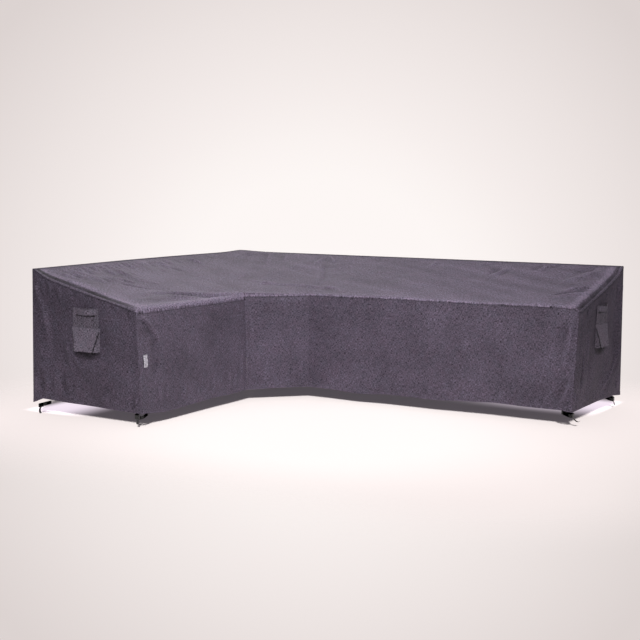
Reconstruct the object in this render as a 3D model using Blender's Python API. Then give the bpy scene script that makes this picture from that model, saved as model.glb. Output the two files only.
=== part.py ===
"""Fitted rain cover for an L-shaped garden sofa, as the sewn shell that it is.

Metres, +Z up. The origin is the point under the top, at the outer back corner, where the
sofa's two backrests meet and carry the cover. The long arm runs along +X, the short arm
along -Y, and both fronts face the inner corner. The floor is 0.09 m below the hem.
"""

import math

import bmesh
import bpy
import numpy as np

# Outline, between the middles of the cloth
LONG_ARM = 2.882  # outer corner to the long arm's end
SHORT_ARM = 2.152  # outer corner to the short arm's end
DEPTH = 0.781  # back edge to front edge of the top
CORNER_CUT = 0.300  # each leg of the slanted panel across the inner corner
BACK_HEIGHT = 0.790
FRONT_HEIGHT = 0.585
HEM_SPREAD = 0.032  # how far the front hem stands out past the front edge
LONG_END_TUCK = 0.018  # how far each end hem leans in under the top
SHORT_END_TUCK = 0.008
LONG_ROLL = 0.012  # radius of the front edge
SHORT_ROLL = 0.035

# Cloth and gaps
CLOTH = 0.002
GAP = 0.0003
BACK_CLEARANCE = 0.012  # origin to the back panels
TOP_CLEARANCE = 0.010  # origin to the top's back edge

# Shape of the top: it sags at its ends and is pushed up over the outer corner
END_SAG, END_SAG_REACH = 0.014, 0.25  # metres, stations
CORNER_LIFT, CORNER_LIFT_REACH = 0.014, 0.14
ROLL_CHANGE = 0.985  # station at which the short front's roll gives way to the corner's

CORNER_X = -BACK_CLEARANCE
CORNER_Y = BACK_CLEARANCE
TOP_Z = TOP_CLEARANCE
FRONT_Z = TOP_Z - BACK_HEIGHT + FRONT_HEIGHT
HEM_Z = TOP_Z - BACK_HEIGHT
SLOPE = math.atan2(BACK_HEIGHT - FRONT_HEIGHT, DEPTH)
SEAM_INSET = CLOTH / 2 + GAP  # where two sheets meet at a right angle
BACK_INSET = CLOTH / 2 * math.tan((math.pi / 2 + SLOPE) / 2) + GAP  # where the top meets a back panel
SLANT_INSET = CLOTH / 2 * math.tan(math.pi / 8) + GAP / 2  # where the fronts turn by 45 degrees

# A station runs from 0 at the short arm's end to 4 at the long arm's end: 1 and 3 are where
# the slanted panel starts and stops, and 2 is the outer corner.
SPAN_CELLS = (17, 8, 8, 29)
CORNER_CROWDING = 1.6  # stations lie closer together near the outer corner
SLOPE_CELLS = 12
ROLL_CELLS = 3
SKIRT_CELLS = 8
BACK_CELLS = 6
END_CELLS = 11

# Height of the hem over HEM_Z: (station or share of the depth, height)
FRONT_HEM = (
    (0.00, -0.008), (0.20, -0.027), (0.66, -0.014), (0.81, -0.018), (1.00, -0.015),
    (2.00, -0.010), (3.00, -0.009), (3.09, -0.010), (3.21, -0.020), (3.33, -0.007),
    (3.52, -0.009), (3.63, 0.002), (3.73, 0.010), (3.86, 0.005), (3.96, 0.006), (4.00, -0.002),
)
BACK_HEM = (
    (0.00, -0.016), (0.06, 0.006), (0.50, -0.004), (2.00, 0.004), (3.50, -0.006), (4.00, -0.013),
)
SHORT_END_HEM = (
    (0.00, -0.016), (0.10, 0.012), (0.40, 0.003), (0.58, 0.001), (0.78, -0.005), (1.00, -0.008),
)
LONG_END_HEM = ((0.00, -0.013), (0.18, 0.001), (0.60, 0.004), (1.00, -0.002))

# Folds, as soft ridges (height over 0) and troughs: (start, end, half_width, height).
# On the top, start and end are in plan (x, y).
TOP_FOLDS = (
    ((2.84, -0.25), (2.60, -0.50), 0.040, 0.016),
    ((2.80, -0.33), (2.57, -0.55), 0.035, -0.010),
    ((2.83, -0.09), (2.70, -0.42), 0.040, 0.010),
    ((2.66, -0.10), (2.45, -0.42), 0.050, -0.008),
    ((1.93, -0.02), (2.16, -0.24), 0.045, 0.008),
    ((2.10, -0.02), (2.28, -0.17), 0.040, 0.007),
    ((0.76, 0.00), (1.07, -0.31), 0.045, 0.006),
    ((0.06, -2.10), (0.44, -1.60), 0.040, 0.014),
    ((0.12, -2.06), (0.40, -1.83), 0.040, -0.010),
    ((0.09, -2.11), (0.44, -2.04), 0.035, 0.010),
    ((0.02, -1.57), (0.54, -1.58), 0.045, 0.009),
    ((0.02, -1.26), (0.20, -1.30), 0.045, 0.006),
    ((0.05, -0.76), (0.26, -0.78), 0.045, 0.008),
    ((0.52, -1.90), (0.66, -1.45), 0.045, 0.007),
    ((0.70, -1.95), (0.73, -1.10), 0.030, -0.008),
    ((0.64, -2.05), (0.66, -1.30), 0.035, 0.006),
    ((0.00, -0.20), (0.20, 0.00), 0.045, 0.008),
    ((0.70, -1.12), (1.02, -0.80), 0.035, 0.005),
    ((1.02, -0.70), (1.30, -0.68), 0.035, 0.005),
)
# On the fronts, start and end are (station, z).
FRONT_FOLDS = (
    ((0.01, -0.22), (0.12, -0.34), 0.035, 0.008),
    ((0.10, -0.30), (0.12, -0.76), 0.060, -0.007),
    ((0.34, -0.36), (0.38, -0.78), 0.060, 0.006),
    ((0.70, -0.30), (0.66, -0.78), 0.070, -0.006),
    ((1.30, -0.34), (1.60, -0.76), 0.070, -0.006),
    ((3.06, -0.24), (3.10, -0.76), 0.070, 0.007),
    ((3.30, -0.40), (3.26, -0.78), 0.080, -0.008),
    ((3.52, -0.30), (3.50, -0.76), 0.080, 0.005),
    ((3.74, -0.42), (3.72, -0.78), 0.070, -0.007),
    ((3.94, -0.32), (3.99, -0.21), 0.035, 0.008),
    ((3.93, -0.36), (3.94, -0.76), 0.050, 0.006),
)
BACK_FOLDS = (
    ((0.20, -0.05), (0.26, -0.74), 0.090, 0.008),
    ((0.80, -0.10), (0.74, -0.76), 0.100, -0.007),
    ((1.60, -0.06), (1.72, -0.70), 0.080, 0.006),
    ((2.30, -0.06), (2.42, -0.72), 0.090, 0.008),
    ((3.10, -0.10), (3.04, -0.76), 0.110, -0.007),
    ((3.55, -0.05), (3.60, -0.74), 0.100, 0.007),
    ((3.88, -0.12), (3.84, -0.76), 0.090, -0.006),
)
# On the ends, start and end are (depth, z).
END_FOLDS = (
    ((0.06, -0.06), (0.07, -0.74), 0.040, 0.008),
    ((0.14, -0.12), (0.13, -0.72), 0.045, -0.007),
    ((0.70, -0.26), (0.69, -0.76), 0.040, 0.005),
    ((0.22, -0.54), (0.46, -0.74), 0.060, -0.006),
)
RIPPLE = 0.0025  # gentle unevenness of every panel
SEAM_FADE = 0.060  # an end panel's folds die away this near its seams

# Seam tapes
WELT_WIDTH, WELT_THICKNESS = 0.016, 0.0024  # felled seam along each slanted end
WELT_START = 0.012  # from the back edge, past its tape
BINDING_WIDTH, BINDING_THICKNESS = 0.009, 0.0022  # tape along the back edge
WELT_STRIP, TAPE_STRIP = 0.019, 0.013  # the top has no folds this near its ends and its back edge

# Handle, its patch and the vent hood on each end: (name, depth of their middle, top of the handle)
END_FITTINGS = (("short", 0.412, -0.210), ("long", 0.390, -0.194))
FITTING_KEEP_OUT = 0.080  # the end panel is flat this far round them
PATCH_WIDTH, PATCH_THICKNESS = 0.196, 0.0012
PATCH_RISE = 0.004  # patch over the top of the handle
HANDLE_WIDTH, HANDLE_HEIGHT, HANDLE_THICKNESS = 0.172, 0.034, 0.003
HANDLE_STAND = 0.018  # how far its middle stands off the patch
HANDLE_SEWN = 0.016  # sewn length at each end
HOOD_DROP = 0.110  # top of the handle to the top of the hood
HOOD_HEIGHT = 0.142
HOOD_TOP_WIDTH, HOOD_BASE_WIDTH, HOOD_LIP_WIDTH = 0.212, 0.200, 0.134
HOOD_TOP_STAND, HOOD_STAND = 0.004, 0.048  # how far its top edge and its lip stand off the end panel
HOOD_WALL = 0.002
HOOD_TOP_WALL = 0.006  # its top edge is folded over
CUT_PAST = 0.001  # how far the cut behind the hood runs past its back

# Small woven label on the short front
LABEL_SIZE = (0.034, 0.072, 0.0008)
LABEL_OFF_END, LABEL_TOP = 0.030, -0.456
LABEL_STAND = 0.0035  # clears the front's own unevenness

# Straps that go round the sofa's legs
WEBBING, WEBBING_THICKNESS = 0.020, 0.0016
LOOP_HALF, LOOP_ROUND = 0.031, 0.013
LOOP_INSET = 0.036  # hem corner to the middle of the loop
LOOP_TUCK = 0.006  # how far the sewn side of the loop reaches up inside the hem
LOOP_DROOP = 0.020  # how much lower its buckle side hangs
BUCKLE_LENGTH, BUCKLE_HEIGHT, BUCKLE_DEPTH = 0.034, 0.024, 0.009
TAIL_WIDTH = 0.016
# Side view of a buckle, as shares of its length and height
BUCKLE_OUTLINE = (
    (-0.50, -0.36), (-0.44, -0.50), (0.04, -0.50), (0.10, -0.40), (0.42, -0.40), (0.50, -0.26),
    (0.50, 0.26), (0.42, 0.40), (0.10, 0.40), (0.04, 0.50), (-0.44, 0.50), (-0.50, 0.36),
)
# Loose end below a buckle: (out from the loop, along it, down)
LONG_TAIL = ((0.004, 0.0, 0.001), (0.010, 0.001, 0.012), (0.009, 0.003, 0.023), (0.003, 0.004, 0.034))
SHORT_TAIL = ((0.003, 0.0, 0.001), (0.007, 0.001, 0.012), (0.008, 0.002, 0.024))
CURLED_TAIL = (
    (0.004, 0.0, 0.001), (0.012, 0.002, 0.010), (0.022, 0.004, 0.018), (0.032, 0.005, 0.020),
    (0.040, 0.005, 0.014),
)

CLOTH_COLOUR = (0.105, 0.088, 0.115)
HOOD_COLOUR = (0.140, 0.122, 0.150)
TAPE_COLOUR = (0.072, 0.060, 0.080)
WEBBING_COLOUR = (0.018, 0.017, 0.019)
BUCKLE_COLOUR = (0.012, 0.012, 0.013)
LABEL_COLOUR = (0.420, 0.400, 0.440)


def clear_scene():
    for obj in list(bpy.data.objects):
        bpy.data.objects.remove(obj, do_unlink=True)


def material(name, colour, roughness):
    made = bpy.data.materials.new(name)
    made.use_nodes = True
    shader = made.node_tree.nodes["Principled BSDF"]
    shader.inputs["Base Color"].default_value = (*colour, 1.0)
    shader.inputs["Roughness"].default_value = roughness
    shader.inputs["Metallic"].default_value = 0.0
    return made


def add_object(name, bm, colour, roughness=0.8):
    bmesh.ops.recalc_face_normals(bm, faces=bm.faces)
    mesh = bpy.data.meshes.new(name)
    bm.to_mesh(mesh)
    bm.free()
    obj = bpy.data.objects.new(name, mesh)
    obj.data.materials.append(material(name, colour, roughness))
    bpy.context.scene.collection.objects.link(obj)
    return obj


def grid_normals(grid):
    """Unit normals of a grid of points, one for each point."""
    across = np.cross(np.gradient(grid, axis=0), np.gradient(grid, axis=1))
    return across / np.linalg.norm(across, axis=2, keepdims=True)


def outward(grid, towards):
    """The grid's normals, turned to the side that the vector `towards` points to."""
    normals = grid_normals(grid)
    return normals * np.sign((normals @ np.array(towards)).sum())


def sheet(name, grid, thickness, colour, roughness=0.85):
    """A closed sheet of even thickness round a grid of middle points, of shape (m, n, 3)."""
    rows, columns = grid.shape[:2]
    normals = grid_normals(grid)
    bm = bmesh.new()
    sides = []
    for half in (thickness / 2, -thickness / 2):
        points = grid + normals * half
        sides.append([[bm.verts.new(points[i, j]) for j in range(columns)] for i in range(rows)])
    for side in sides:
        for i in range(rows - 1):
            for j in range(columns - 1):
                bm.faces.new((side[i][j], side[i + 1][j], side[i + 1][j + 1], side[i][j + 1]))
    rim = [(i, 0) for i in range(rows)] + [(rows - 1, j) for j in range(1, columns)]
    rim += [(i, columns - 1) for i in range(rows - 2, -1, -1)]
    rim += [(0, j) for j in range(columns - 2, 0, -1)]
    front, back = sides
    for (i, j), (k, m) in zip(rim, rim[1:] + rim[:1]):
        bm.faces.new((front[i][j], front[k][m], back[k][m], back[i][j]))
    return add_object(name, bm, colour, roughness)


def stations(first, last):
    """Station values from one whole station to another."""
    values = []
    for span in range(first, last):
        share = np.linspace(0, 1, SPAN_CELLS[span] + 1)
        if span == 1:
            share = 1 - (1 - share) ** CORNER_CROWDING
        if span == 2:
            share = share**CORNER_CROWDING
        values.extend(span + (share if span == last - 1 else share[:-1]))
    return np.array(values)


def back_rail(station):
    """Plan points of the back edge."""
    fan = DEPTH + CORNER_CUT
    x = np.interp(station, range(5), (0, 0, 0, fan, LONG_ARM))
    y = np.interp(station, range(5), (-SHORT_ARM, -fan, 0, 0, 0))
    return np.stack([CORNER_X + x, CORNER_Y + y], axis=-1)


def front_rail(station, out):
    """Plan points of the front edge, pushed out by `out`: one value, or one for each station."""
    station, out = np.broadcast_arrays(np.asarray(station, float), np.asarray(out, float))
    near, far = DEPTH + out, DEPTH + CORNER_CUT + out * (math.sqrt(2) - 1)
    middle = (near + far) / 2
    x = np.choose(
        np.minimum(station.astype(int), 3),
        [
            near,
            near + (middle - near) * (station - 1),
            middle + (far - middle) * (station - 2),
            far + (LONG_ARM - far) * (station - 3),
        ],
    )
    y = np.choose(
        np.minimum(station.astype(int), 3),
        [
            SHORT_ARM + (far - SHORT_ARM) * station,
            far + (middle - far) * (station - 1),
            middle + (near - middle) * (station - 2),
            near,
        ],
    )
    return np.stack([CORNER_X + x, CORNER_Y - y], axis=-1)


def lean_ends(grid, station):
    """Leans the ends in towards the hem, by less and less away from each end."""
    drop = (TOP_Z - grid[..., 2]) / BACK_HEIGHT
    grid[..., 0] -= LONG_END_TUCK * drop * np.clip(station - 3, 0, 1)[:, None]
    grid[..., 1] += SHORT_END_TUCK * drop * np.clip(1 - station, 0, 1)[:, None]
    return grid


def table_height(table, at):
    return np.interp(at, [row[0] for row in table], [row[1] for row in table])


def fold_height(folds, across, along):
    """Sum of the folds at points (across, along) of a panel."""
    total = np.zeros(np.shape(across))
    for (a0, b0), (a1, b1), half_width, height in folds:
        da, db = a1 - a0, b1 - b0
        share = np.clip(((across - a0) * da + (along - b0) * db) / (da * da + db * db), 0, 1)
        off = np.hypot(across - a0 - share * da, along - b0 - share * db)
        taper = np.clip(4 * share, 0, 1) * np.clip(2.5 * (1 - share), 0, 1)
        total += height * taper * np.exp(-((off / half_width) ** 2))
    return total


def ripple(across, along, phase):
    return RIPPLE * (
        np.sin(5.3 * across + 2.1 * along + phase)
        + 0.7 * np.sin(11.0 * across - 4.7 * along + 2 * phase)
        + 0.5 * np.sin(3.1 * across + 13.0 * along + 3 * phase)
    )


def inner_only(height, border=1, hem_free=True):
    """The same heights with none on the panel's seams, so that neighbours meet. A hem keeps its folds."""
    height = height.copy()
    height[:border] = height[-border:] = 0
    height[:, :border] = 0
    if not hem_free:
        height[:, -border:] = 0
    return height


def trimmed(grid, first, last, near, far):
    """Draws each border of the grid in by its own distance, to leave room for the next panel."""
    grid = grid.copy()
    for border, beside, inset in ((0, 1, first), (-1, -2, last)):
        step = grid[beside] - grid[border]
        grid[border] += step / np.linalg.norm(step, axis=-1, keepdims=True) * inset
    for border, beside, inset in ((0, 1, near), (-1, -2, far)):
        step = grid[:, beside] - grid[:, border]
        grid[:, border] += step / np.linalg.norm(step, axis=-1, keepdims=True) * inset
    return grid


def roll_radius(station):
    return np.where(station < 1, SHORT_ROLL, LONG_ROLL)


def seam_height(station):
    """Height where the rolled front edge of the top ends and the front panel starts."""
    radius = roll_radius(station)
    return FRONT_Z + radius * (math.tan(SLOPE) * (1 - math.sin(SLOPE)) - math.cos(SLOPE))


def back_lift(station):
    """How far the sofa's corner pushes the back edge up."""
    reach = np.abs(back_rail(station) - (CORNER_X, CORNER_Y)).sum(axis=-1)
    return CORNER_LIFT * np.exp(-((reach / CORNER_LIFT_REACH) ** 2))


def top_profile(station):
    """Plan and height of the top's middle surface, a row for each station, from back edge to front seam."""
    radius = roll_radius(station)
    seam = seam_height(station)
    start_out = -radius * (1 - math.sin(SLOPE))
    back, start = back_rail(station), front_rail(station, start_out)
    start_z = seam + radius * math.cos(SLOPE)
    back_z = TOP_Z + back_lift(station)
    ends = np.exp(-np.minimum(station, 4 - station) / END_SAG_REACH)
    tape = TAPE_STRIP / np.abs(start - back).max(axis=1)
    columns = []
    for share in (0 * tape, tape, *(part + 0 * tape for part in np.linspace(0, 1, SLOPE_CELLS)[1:])):
        sag = END_SAG * ends * 6.75 * share * (1 - share) ** 2  # deepest a third of the way down
        plan = back + (start - back) * share[:, None]
        height = back_z + (start_z - back_z) * share - sag
        columns.append(np.concatenate([plan, height[:, None]], axis=1))
    for share in np.linspace(0, 1, ROLL_CELLS + 1)[1:]:
        angle = (math.pi / 2 - SLOPE) * (1 - share)
        plan = front_rail(station, radius * (math.cos(angle) - 1))
        height = seam + radius * math.sin(angle)
        columns.append(np.concatenate([plan, height[:, None]], axis=1))
    return np.stack(columns, axis=1)


def top_grid():
    """The whole top with its rolled front edge, a row of points for each station."""
    station = stations(0, 4)
    station[SPAN_CELLS[0] - 1] = ROLL_CHANGE
    fan = DEPTH + CORNER_CUT
    short_strip, long_strip = WELT_STRIP / (SHORT_ARM - fan), WELT_STRIP / (LONG_ARM - fan)
    station = np.concatenate([[0, short_strip], station[1:-1], [4 - long_strip, 4]])
    grid = lean_ends(top_profile(station), station)
    across, along = grid[..., 0], grid[..., 1]
    height = fold_height(TOP_FOLDS, across, along) + ripple(across, along, 0.4)
    height[:, -ROLL_CELLS - 1 :] = 0
    grid = grid + outward(grid, (0, 0, 1)) * inner_only(height, 2, hem_free=False)[..., None]
    return trimmed(grid, SEAM_INSET, SEAM_INSET, BACK_INSET, GAP / 2)


def front_grid(first, last, left_inset, right_inset):
    """A front panel, from the rolled edge of the top down to its hem."""
    station = stations(first, last)
    # Just past the seam at station 1, the long front starts under its own, smaller roll.
    rolled = np.clip(station, 0, 0.999) if last == 1 else station
    seam, hem = seam_height(rolled), HEM_Z + table_height(FRONT_HEM, station)
    columns = []
    for share in np.linspace(0, 1, SKIRT_CELLS + 1):
        plan = front_rail(station, HEM_SPREAD * share)
        height = seam + (hem - seam) * share
        columns.append(np.concatenate([plan, height[:, None]], axis=1))
    grid = lean_ends(np.stack(columns, axis=1), station)
    across = np.repeat(station[:, None], SKIRT_CELLS + 1, axis=1)
    height = fold_height(FRONT_FOLDS, across, grid[..., 2]) + ripple(2 * across, grid[..., 2], 1.3)
    grid = grid + outward(grid, (1, -1, 0)) * inner_only(height)[..., None]
    return trimmed(grid, left_inset, right_inset, GAP / 2, 0)


def back_grid(first, last, towards):
    """A back panel, from the top's back edge down to its hem."""
    station = stations(first, last)
    hem = HEM_Z + table_height(BACK_HEM, station)
    top = TOP_Z + back_lift(station)
    plan = back_rail(station)
    columns = []
    for share in np.linspace(0, 1, BACK_CELLS + 1):
        height = top + (hem - top) * share
        columns.append(np.concatenate([plan, height[:, None]], axis=1))
    grid = lean_ends(np.stack(columns, axis=1), station)
    across = np.repeat(station[:, None], BACK_CELLS + 1, axis=1)
    height = fold_height(BACK_FOLDS, across, grid[..., 2]) + ripple(3 * across, grid[..., 2], 2.2)
    grid = grid + outward(grid, towards) * inner_only(height)[..., None]
    return trimmed(grid, SEAM_INSET, SEAM_INSET, BACK_INSET, 0)


def end_point(arm, depth, z, off):
    """A point of an end panel's middle surface, moved `off` metres out from it."""
    drop = (TOP_Z - z) / BACK_HEIGHT
    if arm == "long":
        x, y = CORNER_X + LONG_ARM - LONG_END_TUCK * drop + off, CORNER_Y - depth
    else:
        x, y = CORNER_X + depth, CORNER_Y - SHORT_ARM + SHORT_END_TUCK * drop - off
    return np.stack(np.broadcast_arrays(x, y, z), axis=-1)


def end_grid(arm, middle_depth, handle_top):
    """An end panel under the top's slanted edge: columns run from the back to the rolled front corner."""
    station = np.array([4.0 if arm == "long" else 0.0])
    edge = top_profile(station)[0]
    depth, top = (CORNER_Y - edge[:, 1] if arm == "long" else edge[:, 0] - CORNER_X), edge[:, 2]
    share = depth / DEPTH
    along = np.stack([np.gradient(depth), np.gradient(top)])
    along /= np.linalg.norm(along, axis=0)
    depth, top = depth + along[1] * SEAM_INSET, top - along[0] * SEAM_INSET
    depth[0] = SEAM_INSET
    hem = HEM_Z + table_height(LONG_END_HEM if arm == "long" else SHORT_END_HEM, share)
    rows = []
    for down in np.linspace(0, 1, END_CELLS + 1):
        z = top + (hem - top) * down
        rows.append(end_point(arm, depth + HEM_SPREAD * down * share, z, 0.0))
    grid = np.stack(rows, axis=1)
    across = np.repeat(depth[:, None], END_CELLS + 1, axis=1)
    beside = np.abs(across - middle_depth) < HOOD_TOP_WIDTH / 2 + FITTING_KEEP_OUT
    level = (grid[..., 2] < handle_top + FITTING_KEEP_OUT) & (
        grid[..., 2] > handle_top - HOOD_DROP - HOOD_HEIGHT - FITTING_KEEP_OUT
    )
    height = fold_height(END_FOLDS, across, grid[..., 2]) + ripple(2 * across, grid[..., 2], 3.1)
    to_seam = np.minimum(across, DEPTH - across)
    to_seam = np.minimum(to_seam, top[:, None] - grid[..., 2])
    height = np.where(beside & level, 0, height) * np.clip(to_seam / SEAM_FADE, 0, 1)
    side = (1, 0, 0) if arm == "long" else (0, -1, 0)
    return grid + outward(grid, side) * height[..., None]


def end_welt(top, arm):
    """Felled seam lying on the top along a slanted end, just in front of the back edge's tape."""
    edge, beside = (top[-1], top[-2]) if arm == "long" else (top[0], top[1])
    edge, beside = edge[: SLOPE_CELLS + 2].copy(), beside[: SLOPE_CELLS + 2].copy()
    for line in (edge, beside):
        step = line[1] - line[0]
        line[0] += step / np.linalg.norm(step) * WELT_START
    step = beside - edge
    step /= np.linalg.norm(step, axis=1, keepdims=True)
    grid = np.stack([edge, edge + step * WELT_WIDTH / 2, edge + step * WELT_WIDTH], axis=1)
    return grid + outward(grid, (0, 0, 1)) * (CLOTH / 2 + GAP + WELT_THICKNESS / 2)


def back_binding(top):
    """Tape lying on the top along its back edge, mitred at the outer corner."""
    edge = top[:, 0]
    step = top[:, 1] - edge
    step /= np.abs(step[:, :2]).max(axis=1, keepdims=True)
    grid = np.stack([edge, edge + step * BINDING_WIDTH], axis=1)
    return grid + outward(grid, (0, 0, 1)) * (CLOTH / 2 + GAP + BINDING_THICKNESS / 2)


def add_fittings(arm, middle, handle_top):
    """The patch, the handle and the vent hood of one end panel."""
    face = CLOTH / 2 + GAP
    hood_top = handle_top - HOOD_DROP
    patch_depth = np.array([[-1, -1], [1, 1]]) * PATCH_WIDTH / 2 + middle
    patch_z = np.array([[handle_top + PATCH_RISE, hood_top + 2 * GAP]] * 2)
    patch = end_point(arm, patch_depth, patch_z, face + PATCH_THICKNESS / 2)
    sheet(f"handle_patch_{arm}", patch, PATCH_THICKNESS, HOOD_COLOUR)

    share = np.linspace(-1, 1, 15)
    free = HANDLE_WIDTH / 2 - HANDLE_SEWN
    bow = HANDLE_STAND * np.clip(1 - (share * HANDLE_WIDTH / 2 / free) ** 2, 0, None) ** 1.3
    off = face + PATCH_THICKNESS + GAP + HANDLE_THICKNESS / 2 + bow
    depth = np.stack([middle + share * HANDLE_WIDTH / 2] * 3, axis=1)
    z = np.stack([handle_top - HANDLE_HEIGHT * part + 0 * share for part in (0, 0.5, 1)], axis=1)
    handle = end_point(arm, depth, z, np.stack([off] * 3, axis=1))
    sheet(f"handle_{arm}", handle, HANDLE_THICKNESS, CLOTH_COLOUR)

    hood = wedge(f"vent_hood_{arm}", arm, middle, hood_top, (0, HOOD_HEIGHT), 0, 0, face)
    inside = wedge(
        f"vent_hood_hollow_{arm}",
        arm,
        middle,
        hood_top,
        (HOOD_TOP_WALL, HOOD_HEIGHT + CUT_PAST),
        2.5 * HOOD_WALL,
        HOOD_WALL,
        face,
        CUT_PAST,
    )
    inside.hide_render = True
    inside.display_type = "WIRE"
    cut = hood.modifiers.new("hollow", "BOOLEAN")
    cut.operation = "DIFFERENCE"
    cut.solver = "EXACT"
    cut.object = inside


def wedge(name, arm, middle, top, downs, narrower, lower, face, behind=0.0):
    """Block in the shape of the vent hood between two distances below its top edge.

    It is `narrower` and `lower` than the hood's outside, and runs from `behind` the end panel's face."""
    bm = bmesh.new()
    rings = []
    for down in downs:
        share = down / HOOD_HEIGHT
        base = HOOD_TOP_WIDTH + (HOOD_BASE_WIDTH - HOOD_TOP_WIDTH) * share - narrower
        lip = HOOD_TOP_WIDTH + (HOOD_LIP_WIDTH - HOOD_TOP_WIDTH) * share - narrower
        stand = HOOD_TOP_STAND + (HOOD_STAND - HOOD_TOP_STAND) * share - lower
        depth = middle + np.array([-base, base, lip, -lip]) / 2
        off = face + np.array([-behind, -behind, stand, stand])
        rings.append([bm.verts.new(p) for p in end_point(arm, depth, top - down, off)])
    upper, under = rings
    bm.faces.new(upper)
    bm.faces.new(under)
    for k in range(4):
        bm.faces.new((upper[k], upper[(k + 1) % 4], under[(k + 1) % 4], under[k]))
    return add_object(name, bm, HOOD_COLOUR)


def add_label():
    """Bare woven label beside the seam of the short front, flat on the cloth."""
    width, height, thickness = LABEL_SIZE
    y = CORNER_Y - SHORT_ARM + SHORT_END_TUCK + LABEL_OFF_END + np.array([[0, 0], [1, 1]]) * width
    z = LABEL_TOP - np.array([[0, 1], [0, 1]]) * height
    seam = float(seam_height(np.array(0.0)))
    out = HEM_SPREAD * (seam - z) / (seam - HEM_Z)
    x = CORNER_X + DEPTH + out + CLOTH / 2 + GAP + thickness / 2 + LABEL_STAND
    sheet("label", np.stack([x, y, z], axis=-1), thickness, LABEL_COLOUR)


def rounded_loop(steps_round=4):
    """A rounded square from the buckle's one end round to its other, in the loop's own plan."""
    corners = ((1, -1, 0), (-1, -1, -90), (-1, 1, 180), (1, 1, 90))  # side, side, first angle
    points = [(LOOP_HALF, -BUCKLE_LENGTH / 2 - GAP)]
    inner = LOOP_HALF - LOOP_ROUND
    for sx, sy, first in corners:
        for k in range(steps_round + 1):
            angle = math.radians(first - 90 * k / steps_round)
            x, y = LOOP_ROUND * math.cos(angle), LOOP_ROUND * math.sin(angle)
            points.append((sx * inner + x, sy * inner + y))
    points.append((LOOP_HALF, BUCKLE_LENGTH / 2 + GAP))
    return np.array(points)


def turned(points, facing):
    """Turns plan points whose own +x is the buckle's side to the side `facing`."""
    (fx, fy), (x, y) = facing, np.moveaxis(points, -1, 0)
    return np.stack([x * fx - y * fy, x * fy + y * fx], axis=-1)


def add_strap(name, hem_corner, hem_z, inward, facing, tail):
    """A webbing loop for one leg, its buckle, and the loose end that hangs from the buckle."""
    middle = np.array(hem_corner) + LOOP_INSET * np.array(inward)
    droop_per_metre = LOOP_DROOP / (2 * LOOP_HALF)
    top_z = hem_z + LOOP_TUCK

    def at(local, lower):
        plan = turned(local, facing) + middle
        z = top_z - lower - droop_per_metre * (local[..., 0] + LOOP_HALF)
        return np.concatenate([plan, z[..., None]], axis=-1)

    loop = rounded_loop()
    grid = np.stack([at(loop, np.full(len(loop), down)) for down in (0.0, WEBBING)], axis=1)
    sheet(f"strap_{name}", grid, WEBBING_THICKNESS, WEBBING_COLOUR, 0.9)

    outline = np.array(BUCKLE_OUTLINE)
    bm = bmesh.new()
    middle_down = WEBBING / 2
    rings = []
    for out in (-BUCKLE_DEPTH / 2, BUCKLE_DEPTH / 2):
        local = np.stack([LOOP_HALF + out + 0 * outline[:, 0], outline[:, 0] * BUCKLE_LENGTH], axis=-1)
        points = at(local, middle_down - outline[:, 1] * BUCKLE_HEIGHT)
        points[:, 2] = top_z - LOOP_DROOP - middle_down + outline[:, 1] * BUCKLE_HEIGHT
        rings.append([bm.verts.new(p) for p in points])
    bm.faces.new(rings[0])
    bm.faces.new(rings[1])
    count = len(outline)
    for k in range(count):
        bm.faces.new((rings[0][k], rings[0][(k + 1) % count], rings[1][(k + 1) % count], rings[1][k]))
    buckle = add_object(f"buckle_{name}", bm, BUCKLE_COLOUR, 0.45)
    bevel = buckle.modifiers.new("edge", "BEVEL")
    bevel.width, bevel.segments = 0.0012, 1

    rows = np.array(tail)
    centre = (LOOP_HALF, 0.0) + rows[:, :2]
    buckle_foot = top_z - LOOP_DROOP - middle_down - BUCKLE_HEIGHT / 2
    z = buckle_foot - GAP - WEBBING_THICKNESS / 2 - rows[:, 2]
    sides = []
    for half in (-TAIL_WIDTH / 2, TAIL_WIDTH / 2):
        plan = turned(centre + (0, half), facing) + middle
        sides.append(np.concatenate([plan, z[:, None]], axis=1))
    sheet(f"strap_tail_{name}", np.stack(sides, axis=1), WEBBING_THICKNESS, WEBBING_COLOUR, 0.9)


def hem_corners():
    """(name, corner of the hem, its height, direction inwards, side of the buckle, loose end)."""
    front_x, front_y = CORNER_X + DEPTH + HEM_SPREAD, CORNER_Y - DEPTH - HEM_SPREAD
    end_y, end_x = CORNER_Y - SHORT_ARM + SHORT_END_TUCK, CORNER_X + LONG_ARM - LONG_END_TUCK
    short_back, short_front, long_front, long_back = (
        HEM_Z + row[1] for row in (SHORT_END_HEM[0], FRONT_HEM[0], FRONT_HEM[-1], BACK_HEM[-1])
    )
    return (
        ("short_back", (CORNER_X, end_y), short_back, (1, 1), (-1, 0), LONG_TAIL),
        ("short_front", (front_x, end_y), short_front, (-1, 1), (0, -1), SHORT_TAIL),
        ("long_front", (end_x, front_y), long_front, (-1, 1), (1, 0), CURLED_TAIL),
        ("long_back", (end_x, CORNER_Y), long_back, (-1, -1), (1, 0), SHORT_TAIL),
    )


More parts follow.
